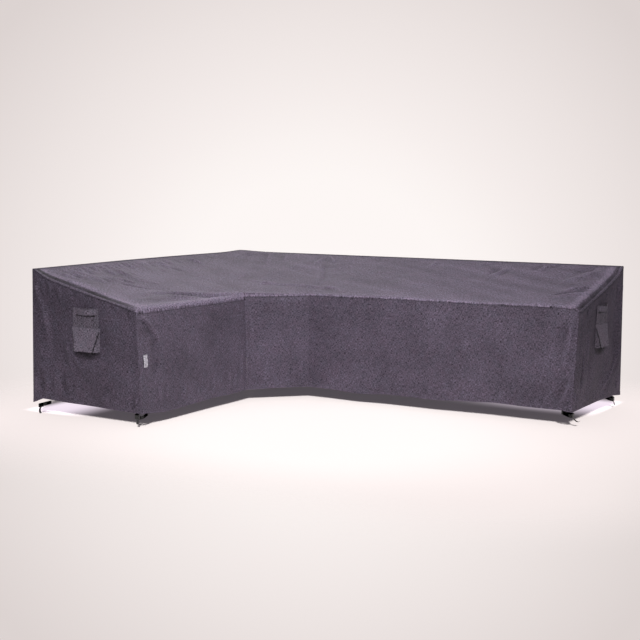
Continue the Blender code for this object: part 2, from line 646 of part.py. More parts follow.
def build():
    clear_scene()
    top = top_grid()
    sheet("top_panel", top, CLOTH, CLOTH_COLOUR)
    sheet("front_panel_short", front_grid(0, 1, SEAM_INSET, SLANT_INSET), CLOTH, CLOTH_COLOUR)
    sheet("front_panel_long", front_grid(1, 4, SLANT_INSET, SEAM_INSET), CLOTH, CLOTH_COLOUR)
    sheet("back_panel_short", back_grid(0, 2, (-1, 0, 0)), CLOTH, CLOTH_COLOUR)
    sheet("back_panel_long", back_grid(2, 4, (0, 1, 0)), CLOTH, CLOTH_COLOUR)
    sheet("back_binding", back_binding(top), BINDING_THICKNESS, TAPE_COLOUR)
    for arm, middle, handle_top in END_FITTINGS:
        sheet(f"end_panel_{arm}", end_grid(arm, middle, handle_top), CLOTH, CLOTH_COLOUR)
        sheet(f"end_welt_{arm}", end_welt(top, arm), WELT_THICKNESS, CLOTH_COLOUR)
        add_fittings(arm, middle, handle_top)
    add_label()
    for row in hem_corners():
        add_strap(*row)


build()
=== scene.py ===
import math

import bmesh
import bpy
import numpy as np
from mathutils import Matrix, Vector
from numpy.polynomial import Polynomial


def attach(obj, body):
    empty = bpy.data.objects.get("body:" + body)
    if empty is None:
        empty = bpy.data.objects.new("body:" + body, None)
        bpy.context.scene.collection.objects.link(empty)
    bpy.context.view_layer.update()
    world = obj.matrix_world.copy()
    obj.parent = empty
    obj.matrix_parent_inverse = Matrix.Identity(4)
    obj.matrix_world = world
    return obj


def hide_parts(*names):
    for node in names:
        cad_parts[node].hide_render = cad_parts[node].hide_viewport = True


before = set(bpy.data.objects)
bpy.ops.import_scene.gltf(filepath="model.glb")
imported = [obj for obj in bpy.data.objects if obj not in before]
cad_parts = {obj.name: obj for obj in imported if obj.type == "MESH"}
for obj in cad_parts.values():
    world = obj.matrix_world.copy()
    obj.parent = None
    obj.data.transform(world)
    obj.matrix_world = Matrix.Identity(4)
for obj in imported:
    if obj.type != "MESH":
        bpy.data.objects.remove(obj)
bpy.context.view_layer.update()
print("frame loaded:", len(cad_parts), "nodes")

# The cover's outline, as in the part, in metres
cover = {
    "longArm": 2.892,
    "shortArm": 2.160,
    "depth": 0.781,
    "cornerCut": 0.300,  # the slanted corner, along each arm
    "backHeight": 0.790,
    "frontHeight": 0.585,
    "hemSpread": 0.032,  # how far the front hems stand out
    "longEndTuck": 0.024,  # how far an end's hem leans in at its front corner
    "shortEndTuck": 0.012,
    "longRoll": 0.012,  # radius of the rolled front edge
    "shortRoll": 0.035,
    "rollChange": 0.988,  # station where one radius gives way to the other
    "cornerX": -0.012,  # the outer back corner
    "cornerY": 0.012,
    "topZ": 0.010,
    "endSag": 0.014,  # how far the top hangs through at its ends
    "endSagReach": 0.25,  # in stations
    "cornerLift": 0.007,  # how far the back corner stands up
    "cornerLiftReach": 0.14,
    "backFlare": 0.012,  # how far the back hems stand out
    "clothInPart": 0.002,
    "gap": 0.0003,  # between one piece and the next
    "endRoll": {"short": 0.012, "long": 0.020},  # how far the top is drawn down at an end
    "endStrip": {"short": 0.046, "long": 0.034},  # and how wide the strip is
}
topZ, backHeight, depth = cover["topZ"], cover["backHeight"], cover["depth"]
cornerX, cornerY = cover["cornerX"], cover["cornerY"]
frontZ = topZ - backHeight + cover["frontHeight"]
hemZ = topZ - backHeight
slope = math.atan2(backHeight - cover["frontHeight"], depth)
fan = depth + cover["cornerCut"]
seamInset = cover["clothInPart"] / 2 + cover["gap"]
# Stations 0 to 4 run along the back from the short arm's end: 2 is the back corner
spanLengths = (cover["shortArm"] - fan, fan, fan, cover["longArm"] - fan)
cutLength = cover["cornerCut"] / math.sqrt(2)
frontLengths = (spanLengths[0], cutLength, cutLength, spanLengths[3])

# Height of the back edge over topZ, and of the front's seam over its straight line: (station, height)
backRise = ((0, -0.007), (0.35, -0.003), (0.8, 0.003), (1.2, 0.006), (4, 0.006))
frontRise = (
    (0, -0.005), (0.02, 0), (3.0, 0), (3.15, 0.005), (3.35, 0.010),
    (3.6, 0.012), (3.85, 0.016), (3.95, 0.018), (3.984, 0.014), (4.0, -0.004),
)
# Height of the hem over hemZ: (station, or share of the depth on the ends; height)
frontHem = (
    (0.00, -0.008), (0.20, -0.027), (0.66, -0.014), (0.81, -0.018), (1.00, -0.015),
    (2.00, -0.010), (3.00, -0.009), (3.09, -0.010), (3.21, -0.020), (3.33, -0.007),
    (3.52, -0.009), (3.63, 0.002), (3.73, 0.010), (3.86, 0.005), (3.96, 0.006), (4.00, -0.002),
)
backHem = (
    (0.00, -0.016), (0.06, 0.006), (0.50, -0.004), (2.00, 0.004), (3.50, -0.006), (4.00, -0.013),
)
endHem = {
    "short": ((0.00, -0.016), (0.10, 0.012), (0.40, 0.003), (0.58, 0.001), (0.78, -0.005), (1.00, -0.008)),
    "long": ((0.00, -0.013), (0.18, 0.001), (0.60, 0.004), (1.00, -0.002)),
}

# Broad folds: (start, end, half width, height), in plan on the top, else by station or depth and z
topFolds = (
    ((2.84, -0.25), (2.60, -0.46), 0.045, 0.008),
    ((2.84, -0.38), (2.64, -0.66), 0.060, 0.009),
    ((2.78, -0.08), (2.60, -0.40), 0.045, 0.009),
    ((2.76, -0.01), (2.60, -0.15), 0.050, -0.010),
    ((1.93, -0.02), (2.16, -0.24), 0.045, 0.008),
    ((2.10, -0.02), (2.28, -0.17), 0.040, 0.007),
    ((0.76, 0.00), (1.07, -0.31), 0.045, 0.006),
    ((0.06, -2.04), (0.44, -1.60), 0.050, 0.006),
    ((0.12, -2.00), (0.40, -1.83), 0.050, -0.004),
    ((0.09, -2.06), (0.62, -2.06), 0.040, 0.006),
    ((0.02, -1.57), (0.54, -1.58), 0.045, 0.009),
    ((0.02, -1.26), (0.20, -1.30), 0.045, 0.006),
    ((0.05, -0.76), (0.26, -0.78), 0.045, 0.008),
    ((0.52, -1.90), (0.66, -1.45), 0.045, 0.007),
    ((0.70, -1.95), (0.73, -1.10), 0.030, -0.008),
    ((0.64, -2.05), (0.66, -1.30), 0.035, 0.006),
    ((0.00, -0.20), (0.20, 0.00), 0.045, 0.008),
    ((0.70, -1.12), (1.02, -0.80), 0.035, 0.005),
    ((1.02, -0.70), (1.30, -0.68), 0.035, 0.005),
)
frontFolds = (
    ((0.01, -0.22), (0.12, -0.34), 0.035, 0.008),
    ((0.10, -0.30), (0.12, -0.76), 0.060, -0.007),
    ((0.34, -0.36), (0.38, -0.78), 0.060, 0.006),
    ((0.70, -0.30), (0.66, -0.78), 0.070, -0.006),
    ((1.30, -0.34), (1.60, -0.76), 0.070, -0.006),
    ((3.06, -0.24), (3.10, -0.76), 0.070, 0.007),
    ((3.30, -0.40), (3.26, -0.78), 0.080, -0.008),
    ((3.52, -0.30), (3.50, -0.76), 0.080, 0.005),
    ((3.74, -0.42), (3.72, -0.78), 0.070, -0.007),
    ((3.94, -0.32), (3.99, -0.21), 0.035, 0.008),
    ((3.93, -0.36), (3.94, -0.76), 0.050, 0.006),
)
backFolds = (
    ((0.20, -0.05), (0.26, -0.74), 0.090, 0.008),
    ((0.80, -0.10), (0.74, -0.76), 0.100, -0.007),
    ((1.60, -0.06), (1.72, -0.70), 0.080, 0.006),
    ((2.30, -0.06), (2.42, -0.72), 0.090, 0.008),
    ((3.10, -0.10), (3.04, -0.76), 0.110, -0.007),
    ((3.55, -0.05), (3.60, -0.74), 0.100, 0.007),
    ((3.88, -0.12), (3.84, -0.76), 0.090, -0.006),
)
endFolds = (
    ((0.06, -0.06), (0.07, -0.74), 0.040, 0.008),
    ((0.14, -0.12), (0.13, -0.72), 0.045, -0.007),
    ((0.70, -0.26), (0.69, -0.76), 0.040, 0.005),
    ((0.22, -0.54), (0.46, -0.74), 0.060, -0.006),
)

# Fine folds, in millimetres: points along the crest, half width, height
# On the top the points are in plan
topCreases = (
    ((77, -2008), (165, -2001), (276, -1985), 10, 2.6),
    ((30, -1945), (120, -1935), (240, -1930), 10, 2.4),
    ((40, -1885), (120, -1880), (200, -1885), 10, 2.6),
    ((22, -1688), (73, -1691), (142, -1705), 11, 3),
    ((30, -1815), (80, -1821), (150, -1835), 10, 2.6),
    ((10, -1765), (60, -1758), (130, -1760), 10, 2.2),
    ((15, -1620), (70, -1622), (120, -1635), 10, 2.6),
    ((25, -1551), (73, -1551), (138, -1560), 11, 3),
    ((30, -1500), (90, -1502), (160, -1520), 9, 2.2),
    ((11, -1448), (76, -1447), (155, -1474), 11, 2.8),
    ((20, -1371), (89, -1374), (191, -1389), 12, 3.4),
    ((20, -1320), (80, -1318), (150, -1330), 9, 2.2),
    ((15, -1274), (82, -1266), (148, -1275), 11, 3),
    ((20, -1225), (80, -1220), (160, -1232), 9, 2.2),
    ((103, -1642), (165, -1639), (235, -1647), 11, 2.6),
    ((150, -1580), (210, -1575), (280, -1580), 10, 2.2),
    ((170, -1500), (240, -1490), (310, -1500), 10, 2),
    ((232, -1709), (308, -1686), (387, -1639), 11, 2.6),
    ((190, -1770), (260, -1762), (330, -1748), 10, 2.2),
    ((340, -1560), (410, -1545), (470, -1520), 11, 2),
    ((47, -1045), (142, -1071), (246, -1098), 14, 3.6),
    ((20, -965), (90, -975), (170, -990), 10, 2.4),
    ((64, -728), (143, -742), (220, -755), 13, 5.4),
    ((30, -860), (100, -870), (180, -890), 10, 2.4),
    ((527, -1755), (597, -1663), (655, -1406), (698, -1202), 10, 3),
    ((72, -1809), (133, -1806), (177, -1792), 15, -3),
    ((237, -1834), (289, -1830), (331, -1815), 11, -3.4),
    ((281, -1711), (345, -1702), (398, -1682), 11, -3),
    ((348, -1827), (403, -1753), (473, -1698), (525, -1638), 11, -3.2),
    ((34, -1123), (103, -1168), (161, -1200), 14, -3.4),
    ((187, -1180), (262, -1235), 12, -2.6),
    ((590, -1690), (648, -1590), (686, -1440), (732, -1244), (760, -1150), 10, -5.2),
    ((181, -1099), (253, -1064), (277, -1043), 14, -2.2),
    ((22, -486), (79, -493), (152, -475), 13, -3.4),
    ((670, -1620), (700, -1300), (738, -1040), 10, 3),
    ((26, -148), (126, -114), (218, -198), 24, -2.4),
    ((20, -380), (130, -420), 11, 2.4),
    ((271, -5), (340, -136), (454, -347), 12, 3.6),
    ((411, -13), (525, -205), 12, 3),
    ((770, -19), (863, -120), (922, -180), 12, 3.8),
    ((770, -19), (764, -132), (786, -262), 12, 3),
    ((802, -127), (959, -389), (1058, -580), 12, -2.2),
    ((691, -800), (691, -704), (768, -714), 12, 2.6),
    ((1100, -626), (1164, -644), (1227, -675), 12, 3.2),
    ((1220, -10), (1250, -100), 11, 2),
    ((1600, -10), (1630, -110), (1600, -180), 12, 2.6),
    ((1951, -106), (1983, -50), (2008, -5), 11, 2.6),
    ((2070, -281), (2105, -188), (2132, -72), 11, -2.6),
    ((2120, -270), (2155, -180), (2180, -60), 10, 2.2),
    ((2331, -158), (2359, -95), (2378, -22), 11, -3.4),
    ((2380, -150), (2405, -90), (2425, -22), 10, 2.6),
    ((2455, -90), (2481, -29), (2500, -4), 11, -2.2),
    ((2640, -615), (2700, -585), (2748, -548), (2800, -500), (2850, -440), 10, -7.8),
    ((2680, -530), (2760, -455), (2840, -375), 11, 5),
    ((2617, -131), (2677, -64), (2751, -4), 24, -3.6),
    ((2594, -398), (2675, -238), (2784, -91), 20, 2.4),
    ((500, -745), (670, -735), (760, -672), (1100, -625), (1200, -665), (1320, -725), 12, 2.6),
)
# On the fronts they are the distance along the panel from its left seam, and z
shortFrontCreases = (
    ((12, -205), (85, -275), (170, -360), (195, -450), 12, 6),
    ((22, -300), (24, -500), (20, -700), 10, 3),
    ((150, -340), (140, -640), 30, -4),
    ((190, -630), (165, -780), 12, 3.5),
    ((262, -630), (225, -750), 12, 3),
    ((425, -660), (385, -790), 14, 3.2),
    ((550, -700), (530, -790), 13, 2.6),
    ((720, -660), (700, -790), 14, 2.8),
    ((900, -640), (870, -790), 12, 3.4),
    ((970, -660), (940, -780), 11, 3.4),
    ((1045, -500), (1015, -780), 14, 3.6),
    ((700, -250), (780, -258), 14, 2.6),
)
longFrontCreases = (
    ((20, -300), (45, -420), (40, -600), 13, 3.4),
    ((130, -620), (120, -780), 14, 3),
    ((360, -600), (380, -780), 14, 2.6),
    ((885, -700), (925, -790), 13, 3.2),
    ((1300, -690), (1315, -780), 12, 3),
    ((1440, -650), (1465, -750), 13, -3),
    ((1545, -400), (1530, -540), 14, 2.8),
    ((1670, -710), (1670, -780), 12, 2.8),
    ((1810, -690), (1770, -780), 13, 3.6),
    ((1900, -700), (1920, -790), 12, 3),
    ((2208, -215), (2190, -400), (2165, -600), 16, 5),
    ((2218, -600), (2195, -680), (2150, -775), 15, 6),
    ((2100, -660), (2060, -780), 13, 3),
)
endCreases = {
    "short": (
        ((4, -30), (42, -132), (88, -225), (120, -413), (118, -550), 16, 8),
        ((35, -30), (70, -178), (80, -356), 13, -5),
        ((18, -600), (15, -750), 13, 6),
        ((62, -580), (66, -750), 12, -5),
        ((110, -630), (106, -760), 13, 6),
        ((228, -570), (232, -750), 13, -4.5),
        ((170, -600), (175, -750), 12, 4),
        ((198, -560), (242, -700), (288, -760), 12, -5),
        ((236, -390), (278, -520), (315, -640), 13, 6),
        ((245, -400), (285, -470), (345, -545), (395, -640), 12, 6.5),
        ((317, -100), (330, -165), 11, -4),
        ((460, -130), (460, -200), 11, -4),
        ((602, -160), (603, -225), 10, -4.5),
        ((650, -175), (648, -230), 12, 3.5),
        ((719, -190), (718, -270), 11, -5),
        ((200, -75), (215, -180), 13, 4),
        ((120, -50), (150, -160), 13, 4),
        ((748, -690), (747, -775), 10, 5),
        ((785, -660), (776, -775), 10, 4.5),
        ((719, -690), (725, -780), 10, -4.5),
        ((520, -700), (530, -770), 12, 3),
        ((410, -710), (420, -770), 12, 2.8),
    ),
    "long": (
        ((30, -360), (75, -520), (230, -660), (350, -720), 13, 6.5),
        ((10, -40), (45, -190), (50, -378), 14, 6),
        ((100, -60), (120, -200), 14, -4.5),
        ((670, -400), (680, -730), 14, -5),
        ((600, -300), (605, -690), 16, 4.5),
        ((210, -90), (220, -170), 12, 3.8),
        ((320, -110), (325, -170), 11, -3.5),
        ((520, -150), (525, -215), 11, 3.5),
        ((640, -180), (640, -250), 11, -4),
        ((30, -640), (20, -760), 13, 5.5),
        ((80, -650), (85, -760), 12, -4),
        ((745, -660), (765, -770), 11, 5),
        ((440, -700), (450, -770), 12, 3),
    ),
}
# On the backs too, from the left seam as seen from the front
backCreases = {
    "short": (
        ((30, -20), (100, -200), (140, -400), 18, 6),
        ((400, -10), (420, -120), 12, 3.5),
        ((700, -10), (690, -140), 12, 3.5),
        ((950, -600), (930, -770), 14, 4),
        ((1300, -10), (1330, -160), 12, 3.5),
        ((1750, -620), (1760, -770), 14, 3.5),
        ((2120, -20), (2020, -220), (1980, -420), 18, 5.5),
        ((40, -760), (100, -600), 14, 5),
    ),
    "long": (
        ((30, -20), (120, -220), (150, -440), 18, 6),
        ((550, -10), (540, -130), 12, 3.5),
        ((980, -10), (1010, -150), 12, 3.5),
        ((1300, -600), (1320, -770), 14, 3.5),
        ((1700, -10), (1690, -120), 12, 3.5),
        ((2250, -610), (2230, -770), 14, 3.8),
        ((2840, -20), (2760, -200), (2720, -420), 18, 6),
        ((2840, -760), (2780, -580), 14, 5.5),
    ),
}

cloth = {
    "thickness": 0.0014,
    "hemHeight": 0.022,
    "hemStitch": 0.018,  # its row of stitches, from the edge
    "hemRise": 0.0006,
    "seamDip": 0.0011,
    "seamWidth": 0.005,
    "seamFlat": 0.030,  # the folds reach their full height this far from a seam
    "seamStitch": 0.007,
    "stitchDimple": 0.00035,
    "stitchWidth": 0.0016,
    "crumple": 0.0011,
    "crumpleSizes": ((0.16, 1.0), (0.075, 0.55), (0.034, 0.25)),  # (size, share)
    "crumpleDrift": 0.31,
    "crumplePatches": 0.42,
    "sway": 0.0022,
    "swaySize": (0.33, 0.45),
    "pucker": 0.0006,
    "puckerSizes": ((0.021, 0.10, 1.0), (0.011, 0.06, 0.6)),  # (along the seam, away from it, share)
    "mottleSizes": ((0.021, 0.60), (0.055, 0.45), (0.21, 0.90)),
    "shaded": 1.2,
    "rubbedSeam": 0.6,
    "rubbedHem": 0.8,
}
seamSteps = (0.0, 0.0012, 0.0028, 0.005, 0.007, 0.009, 0.013)  # grid lines beside a seam
hemSteps = (0.0, 0.002, 0.010, 0.016, 0.018, 0.020, 0.0225, 0.026)  # grid lines above a hem
seamStitchLine, hemStitchLine = seamSteps.index(cloth["seamStitch"]), hemSteps.index(cloth["hemStitch"])


def smooth(value, low, high):
    part = np.clip((value - low) / (high - low), 0, 1)
    return part * part * (3 - 2 * part)


def bell(off, width):
    return np.exp(-((off / width) ** 2))


def runAlong(points):
    # distance along a line of points, or along each line of a grid's first axis
    steps = np.linalg.norm(np.diff(points, axis=0), axis=-1)
    return np.concatenate([np.zeros((1, *steps.shape[1:])), np.cumsum(steps, axis=0)])


def hemHeight(table, at):
    # eased between the table's rows, so that the hem has no kinks
    places, heights = np.array(table).T
    k = np.clip(np.searchsorted(places, at, side="right") - 1, 0, len(places) - 2)
    share = np.clip((at - places[k]) / (places[k + 1] - places[k]), 0, 1)
    share = 0.5 * share + 0.5 * share * share * (3 - 2 * share)
    return heights[k] + (heights[k + 1] - heights[k]) * share


def ladder(length, cell, near, far):
    # positions along a length as fixed + part * length: near steps, even cells, far steps
    near, far = np.array(near), np.array(far)
    share = np.linspace(0, 1, max(2, round((length - near[-1] - far[-1]) / cell)) + 1)
    fixed = np.concatenate([near[:-1], near[-1] * (1 - share) - far[-1] * share, -far[:-1][::-1]])
    part = np.concatenate([0 * near[:-1], share, 1 + 0 * far[:-1]])
    return fixed, part


def stationRow(first, last, lengths, cell, near, far):
    ends = np.concatenate([[0], np.cumsum(lengths[first:last])])
    fixed, part = ladder(ends[-1], cell, near, far)
    at = fixed + part * ends[-1]
    for bend in ends[1:-1]:  # a grid line on every bend
        at[np.abs(at - bend).argmin()] = bend
    return np.interp(at, ends, range(first, last + 1)), at


def riseAt(table, station):
    return np.interp(station, *zip(*table))


def backRail(station):
    x = np.interp(station, range(5), (0, 0, 0, fan, cover["longArm"]))
    y = np.interp(station, range(5), (-cover["shortArm"], -fan, 0, 0, 0))
    return np.stack([cornerX + x, cornerY + y], axis=-1)


def frontRail(station, out):
    station, out = np.broadcast_arrays(np.asarray(station, float), np.asarray(out, float))
    near, far = depth + out, fan + out * (math.sqrt(2) - 1)
    middle = (near + far) / 2
    span = np.minimum(station.astype(int), 3)
    x = np.choose(span, [
        near,
        near + (middle - near) * (station - 1),
        middle + (far - middle) * (station - 2),
        far + (cover["longArm"] - far) * (station - 3),
    ])
    y = np.choose(span, [
        cover["shortArm"] + (far - cover["shortArm"]) * station,
        far + (middle - far) * (station - 1),
        middle + (near - middle) * (station - 2),
        near,
    ])
    return np.stack([cornerX + x, cornerY - y], axis=-1)


def tuck(share, arm):
    # how far an end's hem leans in, from its back corner (0) to its front corner (1)
    return cover[f"{arm}EndTuck"] * share**0.7


def leanEnds(grid, station):
    # the ends lean in under the top, and more so towards the front
    drop = (topZ - grid[..., 2]) / backHeight
    fromBack = np.where(station[:, None] > 2, cornerY - grid[..., 1], grid[..., 0] - cornerX)
    fromBack = np.clip(fromBack / depth, 0, 1)
    grid[..., 0] -= tuck(fromBack, "long") * drop * np.clip(station - 3, 0, 1)[:, None]
    grid[..., 1] += tuck(fromBack, "short") * drop * np.clip(1 - station, 0, 1)[:, None]
    return grid


def rollRadius(station):
    # of the rolled front edge
    return np.interp(station, (cover["rollChange"], 1), (cover["shortRoll"], cover["longRoll"]))


def seamHeight(station):
    drop = math.tan(slope) * (1 - math.sin(slope)) - math.cos(slope)
    return frontZ + rollRadius(station) * drop + riseAt(frontRise, station)


def backEdgeHeight(station):
    reach = np.abs(backRail(station) - (cornerX, cornerY)).sum(axis=-1)
    return topZ + riseAt(backRise, station) + cover["cornerLift"] * bell(reach, cover["cornerLiftReach"])


def gridNormals(grid, towards):
    across = np.cross(np.gradient(grid, axis=0), np.gradient(grid, axis=1))
    across /= np.linalg.norm(across, axis=2, keepdims=True)
    return across * np.sign((across @ np.array(towards, float)).sum())


def broadFolds(rows, a, b):
    # rounded ridges and troughs, fading out at both ends
    total = np.zeros(np.shape(a))
    for (a0, b0), (a1, b1), halfWidth, height in rows:
        da, db = a1 - a0, b1 - b0
        share = np.clip(((a - a0) * da + (b - b0) * db) / (da * da + db * db), 0, 1)
        off = np.hypot(a - a0 - share * da, b - b0 - share * db)
        taper = np.clip(4 * share, 0, 1) * np.clip(2.5 * (1 - share), 0, 1)
        total += height * taper * bell(off, halfWidth)
    return total


def fineFolds(rows, a, b, widen=1.0):
    # a crest with a shallow trough along its right side, fading out at both ends
    total = np.zeros(np.shape(a))
    for *points, halfWidth, height in rows:
        line, halfWidth, height = np.array(points) / 1000, widen * halfWidth / 1000, height / 1000
        # a smooth curve through the points
        knots = np.linspace(0, 1, len(line))
        dense = np.linspace(0, 1, 8 * (len(line) - 1) + 1)
        degree = min(3, len(line) - 1)
        line = np.stack([Polynomial.fit(knots, line[:, k], degree)(dense) for k in (0, 1)], axis=1)
        reach = 5 * halfWidth
        near = (a > line[:, 0].min() - reach) & (a < line[:, 0].max() + reach)
        near &= (b > line[:, 1].min() - reach) & (b < line[:, 1].max() + reach)
        if not near.any():
            continue
        pa, pb = a[near], b[near]
        best, side, along = np.full(pa.shape, 1e9), np.zeros(pa.shape), np.zeros(pa.shape)
        for k, ((a0, b0), (a1, b1)) in enumerate(zip(line[:-1], line[1:])):
            da, db = a1 - a0, b1 - b0
            share = np.clip(((pa - a0) * da + (pb - b0) * db) / (da * da + db * db), 0, 1)
            ua, ub = pa - a0 - share * da, pb - b0 - share * db
            off = np.hypot(ua, ub)
            closer = off < best
            best = np.where(closer, off, best)
            side = np.where(closer, np.sign(da * ub - db * ua) * off, side)
            along = np.where(closer, (k + share) / (len(line) - 1), along)
        taper = smooth(along, 0, 0.25) * smooth(1 - along, 0, 0.35)
        crest = bell(best, halfWidth) * taper
        trough = bell(side + 2.1 * halfWidth, 1.5 * halfWidth) * (best < reach)
        total[near] += height * taper * (crest - 0.45 * trough)
    return total


def gradientNoise(x, y, seed):
    x, y = np.broadcast_arrays(x, y)
    cellX, cellY = np.floor(x).astype(np.int64), np.floor(y).astype(np.int64)
    fx, fy = x - cellX, y - cellY

    def corner(dx, dy):
        mixed = ((cellX + dx) * 374761393 + (cellY + dy) * 668265263 + seed * 974711) & 0xFFFFFFFF
        mixed = ((mixed ^ (mixed >> 13)) * 1274126177) & 0xFFFFFFFF
        angle = ((mixed ^ (mixed >> 16)) & 4095) * (2 * math.pi / 4096)
        return np.cos(angle) * (fx - dx) + np.sin(angle) * (fy - dy)

    ux, uy = fx**3 * (fx * (6 * fx - 15) + 10), fy**3 * (fy * (6 * fy - 15) + 10)
    low = corner(0, 0) * (1 - ux) + corner(1, 0) * ux
    high = corner(0, 1) * (1 - ux) + corner(1, 1) * ux
    return 1.4 * (low * (1 - uy) + high * uy)


def crumple(a, b, seed):
    # soft creases at three sizes, bent by a slow drift, over a long sway
    slow, patches = cloth["crumpleDrift"], cloth["crumplePatches"]
    driftA = 0.05 * gradientNoise(a / slow, b / slow, seed + 11)
    driftB = 0.05 * gradientNoise(a / slow + 9, b / slow, seed + 12)
    total = np.zeros(np.shape(a))
    for k, (size, share) in enumerate(cloth["crumpleSizes"]):
        ridge = gradientNoise((a + driftA) / size, (b + driftB) / size, seed + k)
        total += share * (1 - 2 * np.sqrt(ridge**2 + 0.004))
    patchy = smooth(gradientNoise(a / patches, b / patches, seed + 5), -0.5, 0.5)
    sway = gradientNoise(a / cloth["swaySize"][0], b / cloth["swaySize"][1], seed + 7)
    return cloth["crumple"] * total * (0.35 + 0.65 * patchy) + cloth["sway"] * sway


def seamPucker(along, off, seed, reach=0.035):
    # short wrinkles that run away from a seam
    wave = sum(
        share * gradientNoise(along / near, off / far, seed + k)
        for k, (near, far, share) in enumerate(cloth["puckerSizes"])
    )
    return cloth["pucker"] * wave * np.exp(-off / reach) * smooth(off, 0.0, 0.006)


def mottled(a, b, seed):
    # cloth that is rubbed unevenly, in patches of three sizes
    return sum(
        share * gradientNoise(a / size, b / size, seed + k)
        for k, (size, share) in enumerate(cloth["mottleSizes"])
    )


def stitchDip(off, at):
    return cloth["stitchDimple"] * bell(off - at, cloth["stitchWidth"])


def finishPanel(grid, towards, hem, height, seed):
    # adds the folds and what the seams and the hem do to them: the first, last and top borders are sewn
    fromFirst, fromTop = runAlong(grid), runAlong(grid.swapaxes(0, 1)).T
    toBorder = {
        "first": fromFirst,
        "last": fromFirst[-1:] - fromFirst,
        "top": fromTop,
        "bottom": fromTop[:, -1:] - fromTop,
    }
    thickness = np.full(grid.shape[:2], cloth["thickness"])
    wear = mottled(fromFirst, fromTop, seed + 30)
    for k, (border, off) in enumerate(toBorder.items()):
        line = fromTop if border in ("first", "last") else fromFirst
        if border != "bottom":
            height = height * smooth(off, 0, cloth["seamFlat"]) + seamPucker(line, off, seed + 20 + k)
            height -= cloth["seamDip"] * np.clip(1 - off / cloth["seamWidth"], 0, 1) ** 2
            height -= stitchDip(off, cloth["seamStitch"])
            if border == "top" and hem:
                # painted shade on a side panel's top border, under the edge above
                wear -= cloth["shaded"] * bell(off, 0.006)  # by the edge above
            else:
                wear += cloth["rubbedSeam"] * bell(off - 0.004, 0.004)
        elif hem:
            band = 1 - smooth(off, cloth["hemHeight"] - 0.003, cloth["hemHeight"])
            height = height * (1 - 0.4 * band) + cloth["hemRise"] * band
            height += 1.2 * seamPucker(line, off, seed + 20 + k, 0.045)
            height -= stitchDip(off, cloth["hemStitch"])
            thickness += cloth["hemRise"] * band
            wear += cloth["rubbedHem"] * np.exp(-off / 0.004)
    grid = grid + gridNormals(grid, towards) * height[..., None]
    return grid, thickness, wear


def newObject(name, data):
    made = bpy.data.objects.new(name, data)
    bpy.context.scene.collection.objects.link(made)
    return made


def newPiece(name, mesh):
    piece = newObject(name, mesh)
    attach(piece, "root")
    return piece


def clothSheet(name, grid, towards, thickness, uv, material, wear=None):
    # closed sheet round a grid of middle points, with its weave on its own map
    rows, columns = grid.shape[:2]
    normals = gridNormals(grid, towards)
    half = np.broadcast_to(np.asarray(thickness) / 2, grid.shape[:2])[..., None]
    points = np.concatenate([(grid + normals * half).reshape(-1, 3), (grid - normals * half).reshape(-1, 3)])
    index = np.arange(rows * columns).reshape(rows, columns)
    outer = np.stack([index[:-1, :-1], index[1:, :-1], index[1:, 1:], index[:-1, 1:]], axis=-1).reshape(-1, 4)
    first = np.cross(points[outer[0, 1]] - points[outer[0, 0]], points[outer[0, 2]] - points[outer[0, 0]])
    if first @ normals[0, 0] < 0:
        outer = outer[:, ::-1]
    inner = outer[:, ::-1] + rows * columns
    rim = np.concatenate([index[:, 0], index[-1, 1:], index[-2::-1, -1], index[0, -2:0:-1]])
    after = np.roll(rim, -1)
    edge = np.stack([rim, after, after + rows * columns, rim + rows * columns], axis=-1)
    side = points[edge[0]]
    outwards = np.cross(side[1] - side[0], side[3] - side[0]) @ (side[0] - points[index[1, 1]])
    if outwards < 0:
        edge = edge[:, ::-1]
    faces = np.concatenate([outer, inner, edge])
    mesh = bpy.data.meshes.new(name)
    mesh.vertices.add(len(points))
    mesh.vertices.foreach_set("co", points.ravel())
    mesh.loops.add(faces.size)
    mesh.loops.foreach_set("vertex_index", faces.ravel().astype(np.int32))
    mesh.polygons.add(len(faces))
    mesh.polygons.foreach_set("loop_start", np.arange(0, faces.size, 4, dtype=np.int32))
    mesh.update(calc_edges=True)
    mesh.polygons.foreach_set("use_smooth", np.ones(len(faces), bool))
    layer = mesh.uv_layers.new(name="weave")
    flat = np.concatenate([uv.reshape(-1, 2)] * 2)
    layer.data.foreach_set("uv", flat[faces.ravel()].ravel().astype(np.float32))
    # the wear attribute holds rubbed patches and seams together with painted highlights and painted shade
    wornAndLit = mesh.attributes.new("wear", "FLOAT", "POINT")
    values = np.zeros(rows * columns) if wear is None else wear.ravel()
    wornAndLit.data.foreach_set("value", np.concatenate([values] * 2).astype(np.float32))
    mesh.set_sharp_from_angle(angle=math.radians(55))
    mesh.materials.append(material)
    mesh.validate()
    return newPiece(name, mesh)


def newMaterial(name):
    # a material, its nodes, its shader and a socket with the place on the piece
    made = bpy.data.materials.new(name)
    made.use_nodes = True
    tree = made.node_tree
    place = tree.nodes.new("ShaderNodeTexCoord").outputs["Object"]
    return made, tree, tree.nodes["Principled BSDF"], place


def addNode(tree, kind, settings=None, **inputs):
    node = tree.nodes.new(kind)
    for key, value in (settings or {}).items():
        setattr(node, key, value)
    for key, value in inputs.items():
        # i0, i1 and so on are inputs by number, and the rest go by name
        socket = node.inputs[int(key[1:]) if key[0] == "i" and key[1:].isdigit() else key.replace("_", " ")]
        if isinstance(value, bpy.types.NodeSocket):
            tree.links.new(value, socket)
        else:
            socket.default_value = value
    return node


def maths(tree, operation, a, b=0.0, c=0.0):
    return addNode(tree, "ShaderNodeMath", {"operation": operation}, i0=a, i1=b, i2=c).outputs[0]


def blendColours(tree, factor, a, b, mode="MIX"):
    node = addNode(tree, "ShaderNodeMix", {"data_type": "RGBA", "blend_type": mode}, i0=factor, i6=a, i7=b)
    return node.outputs[2]


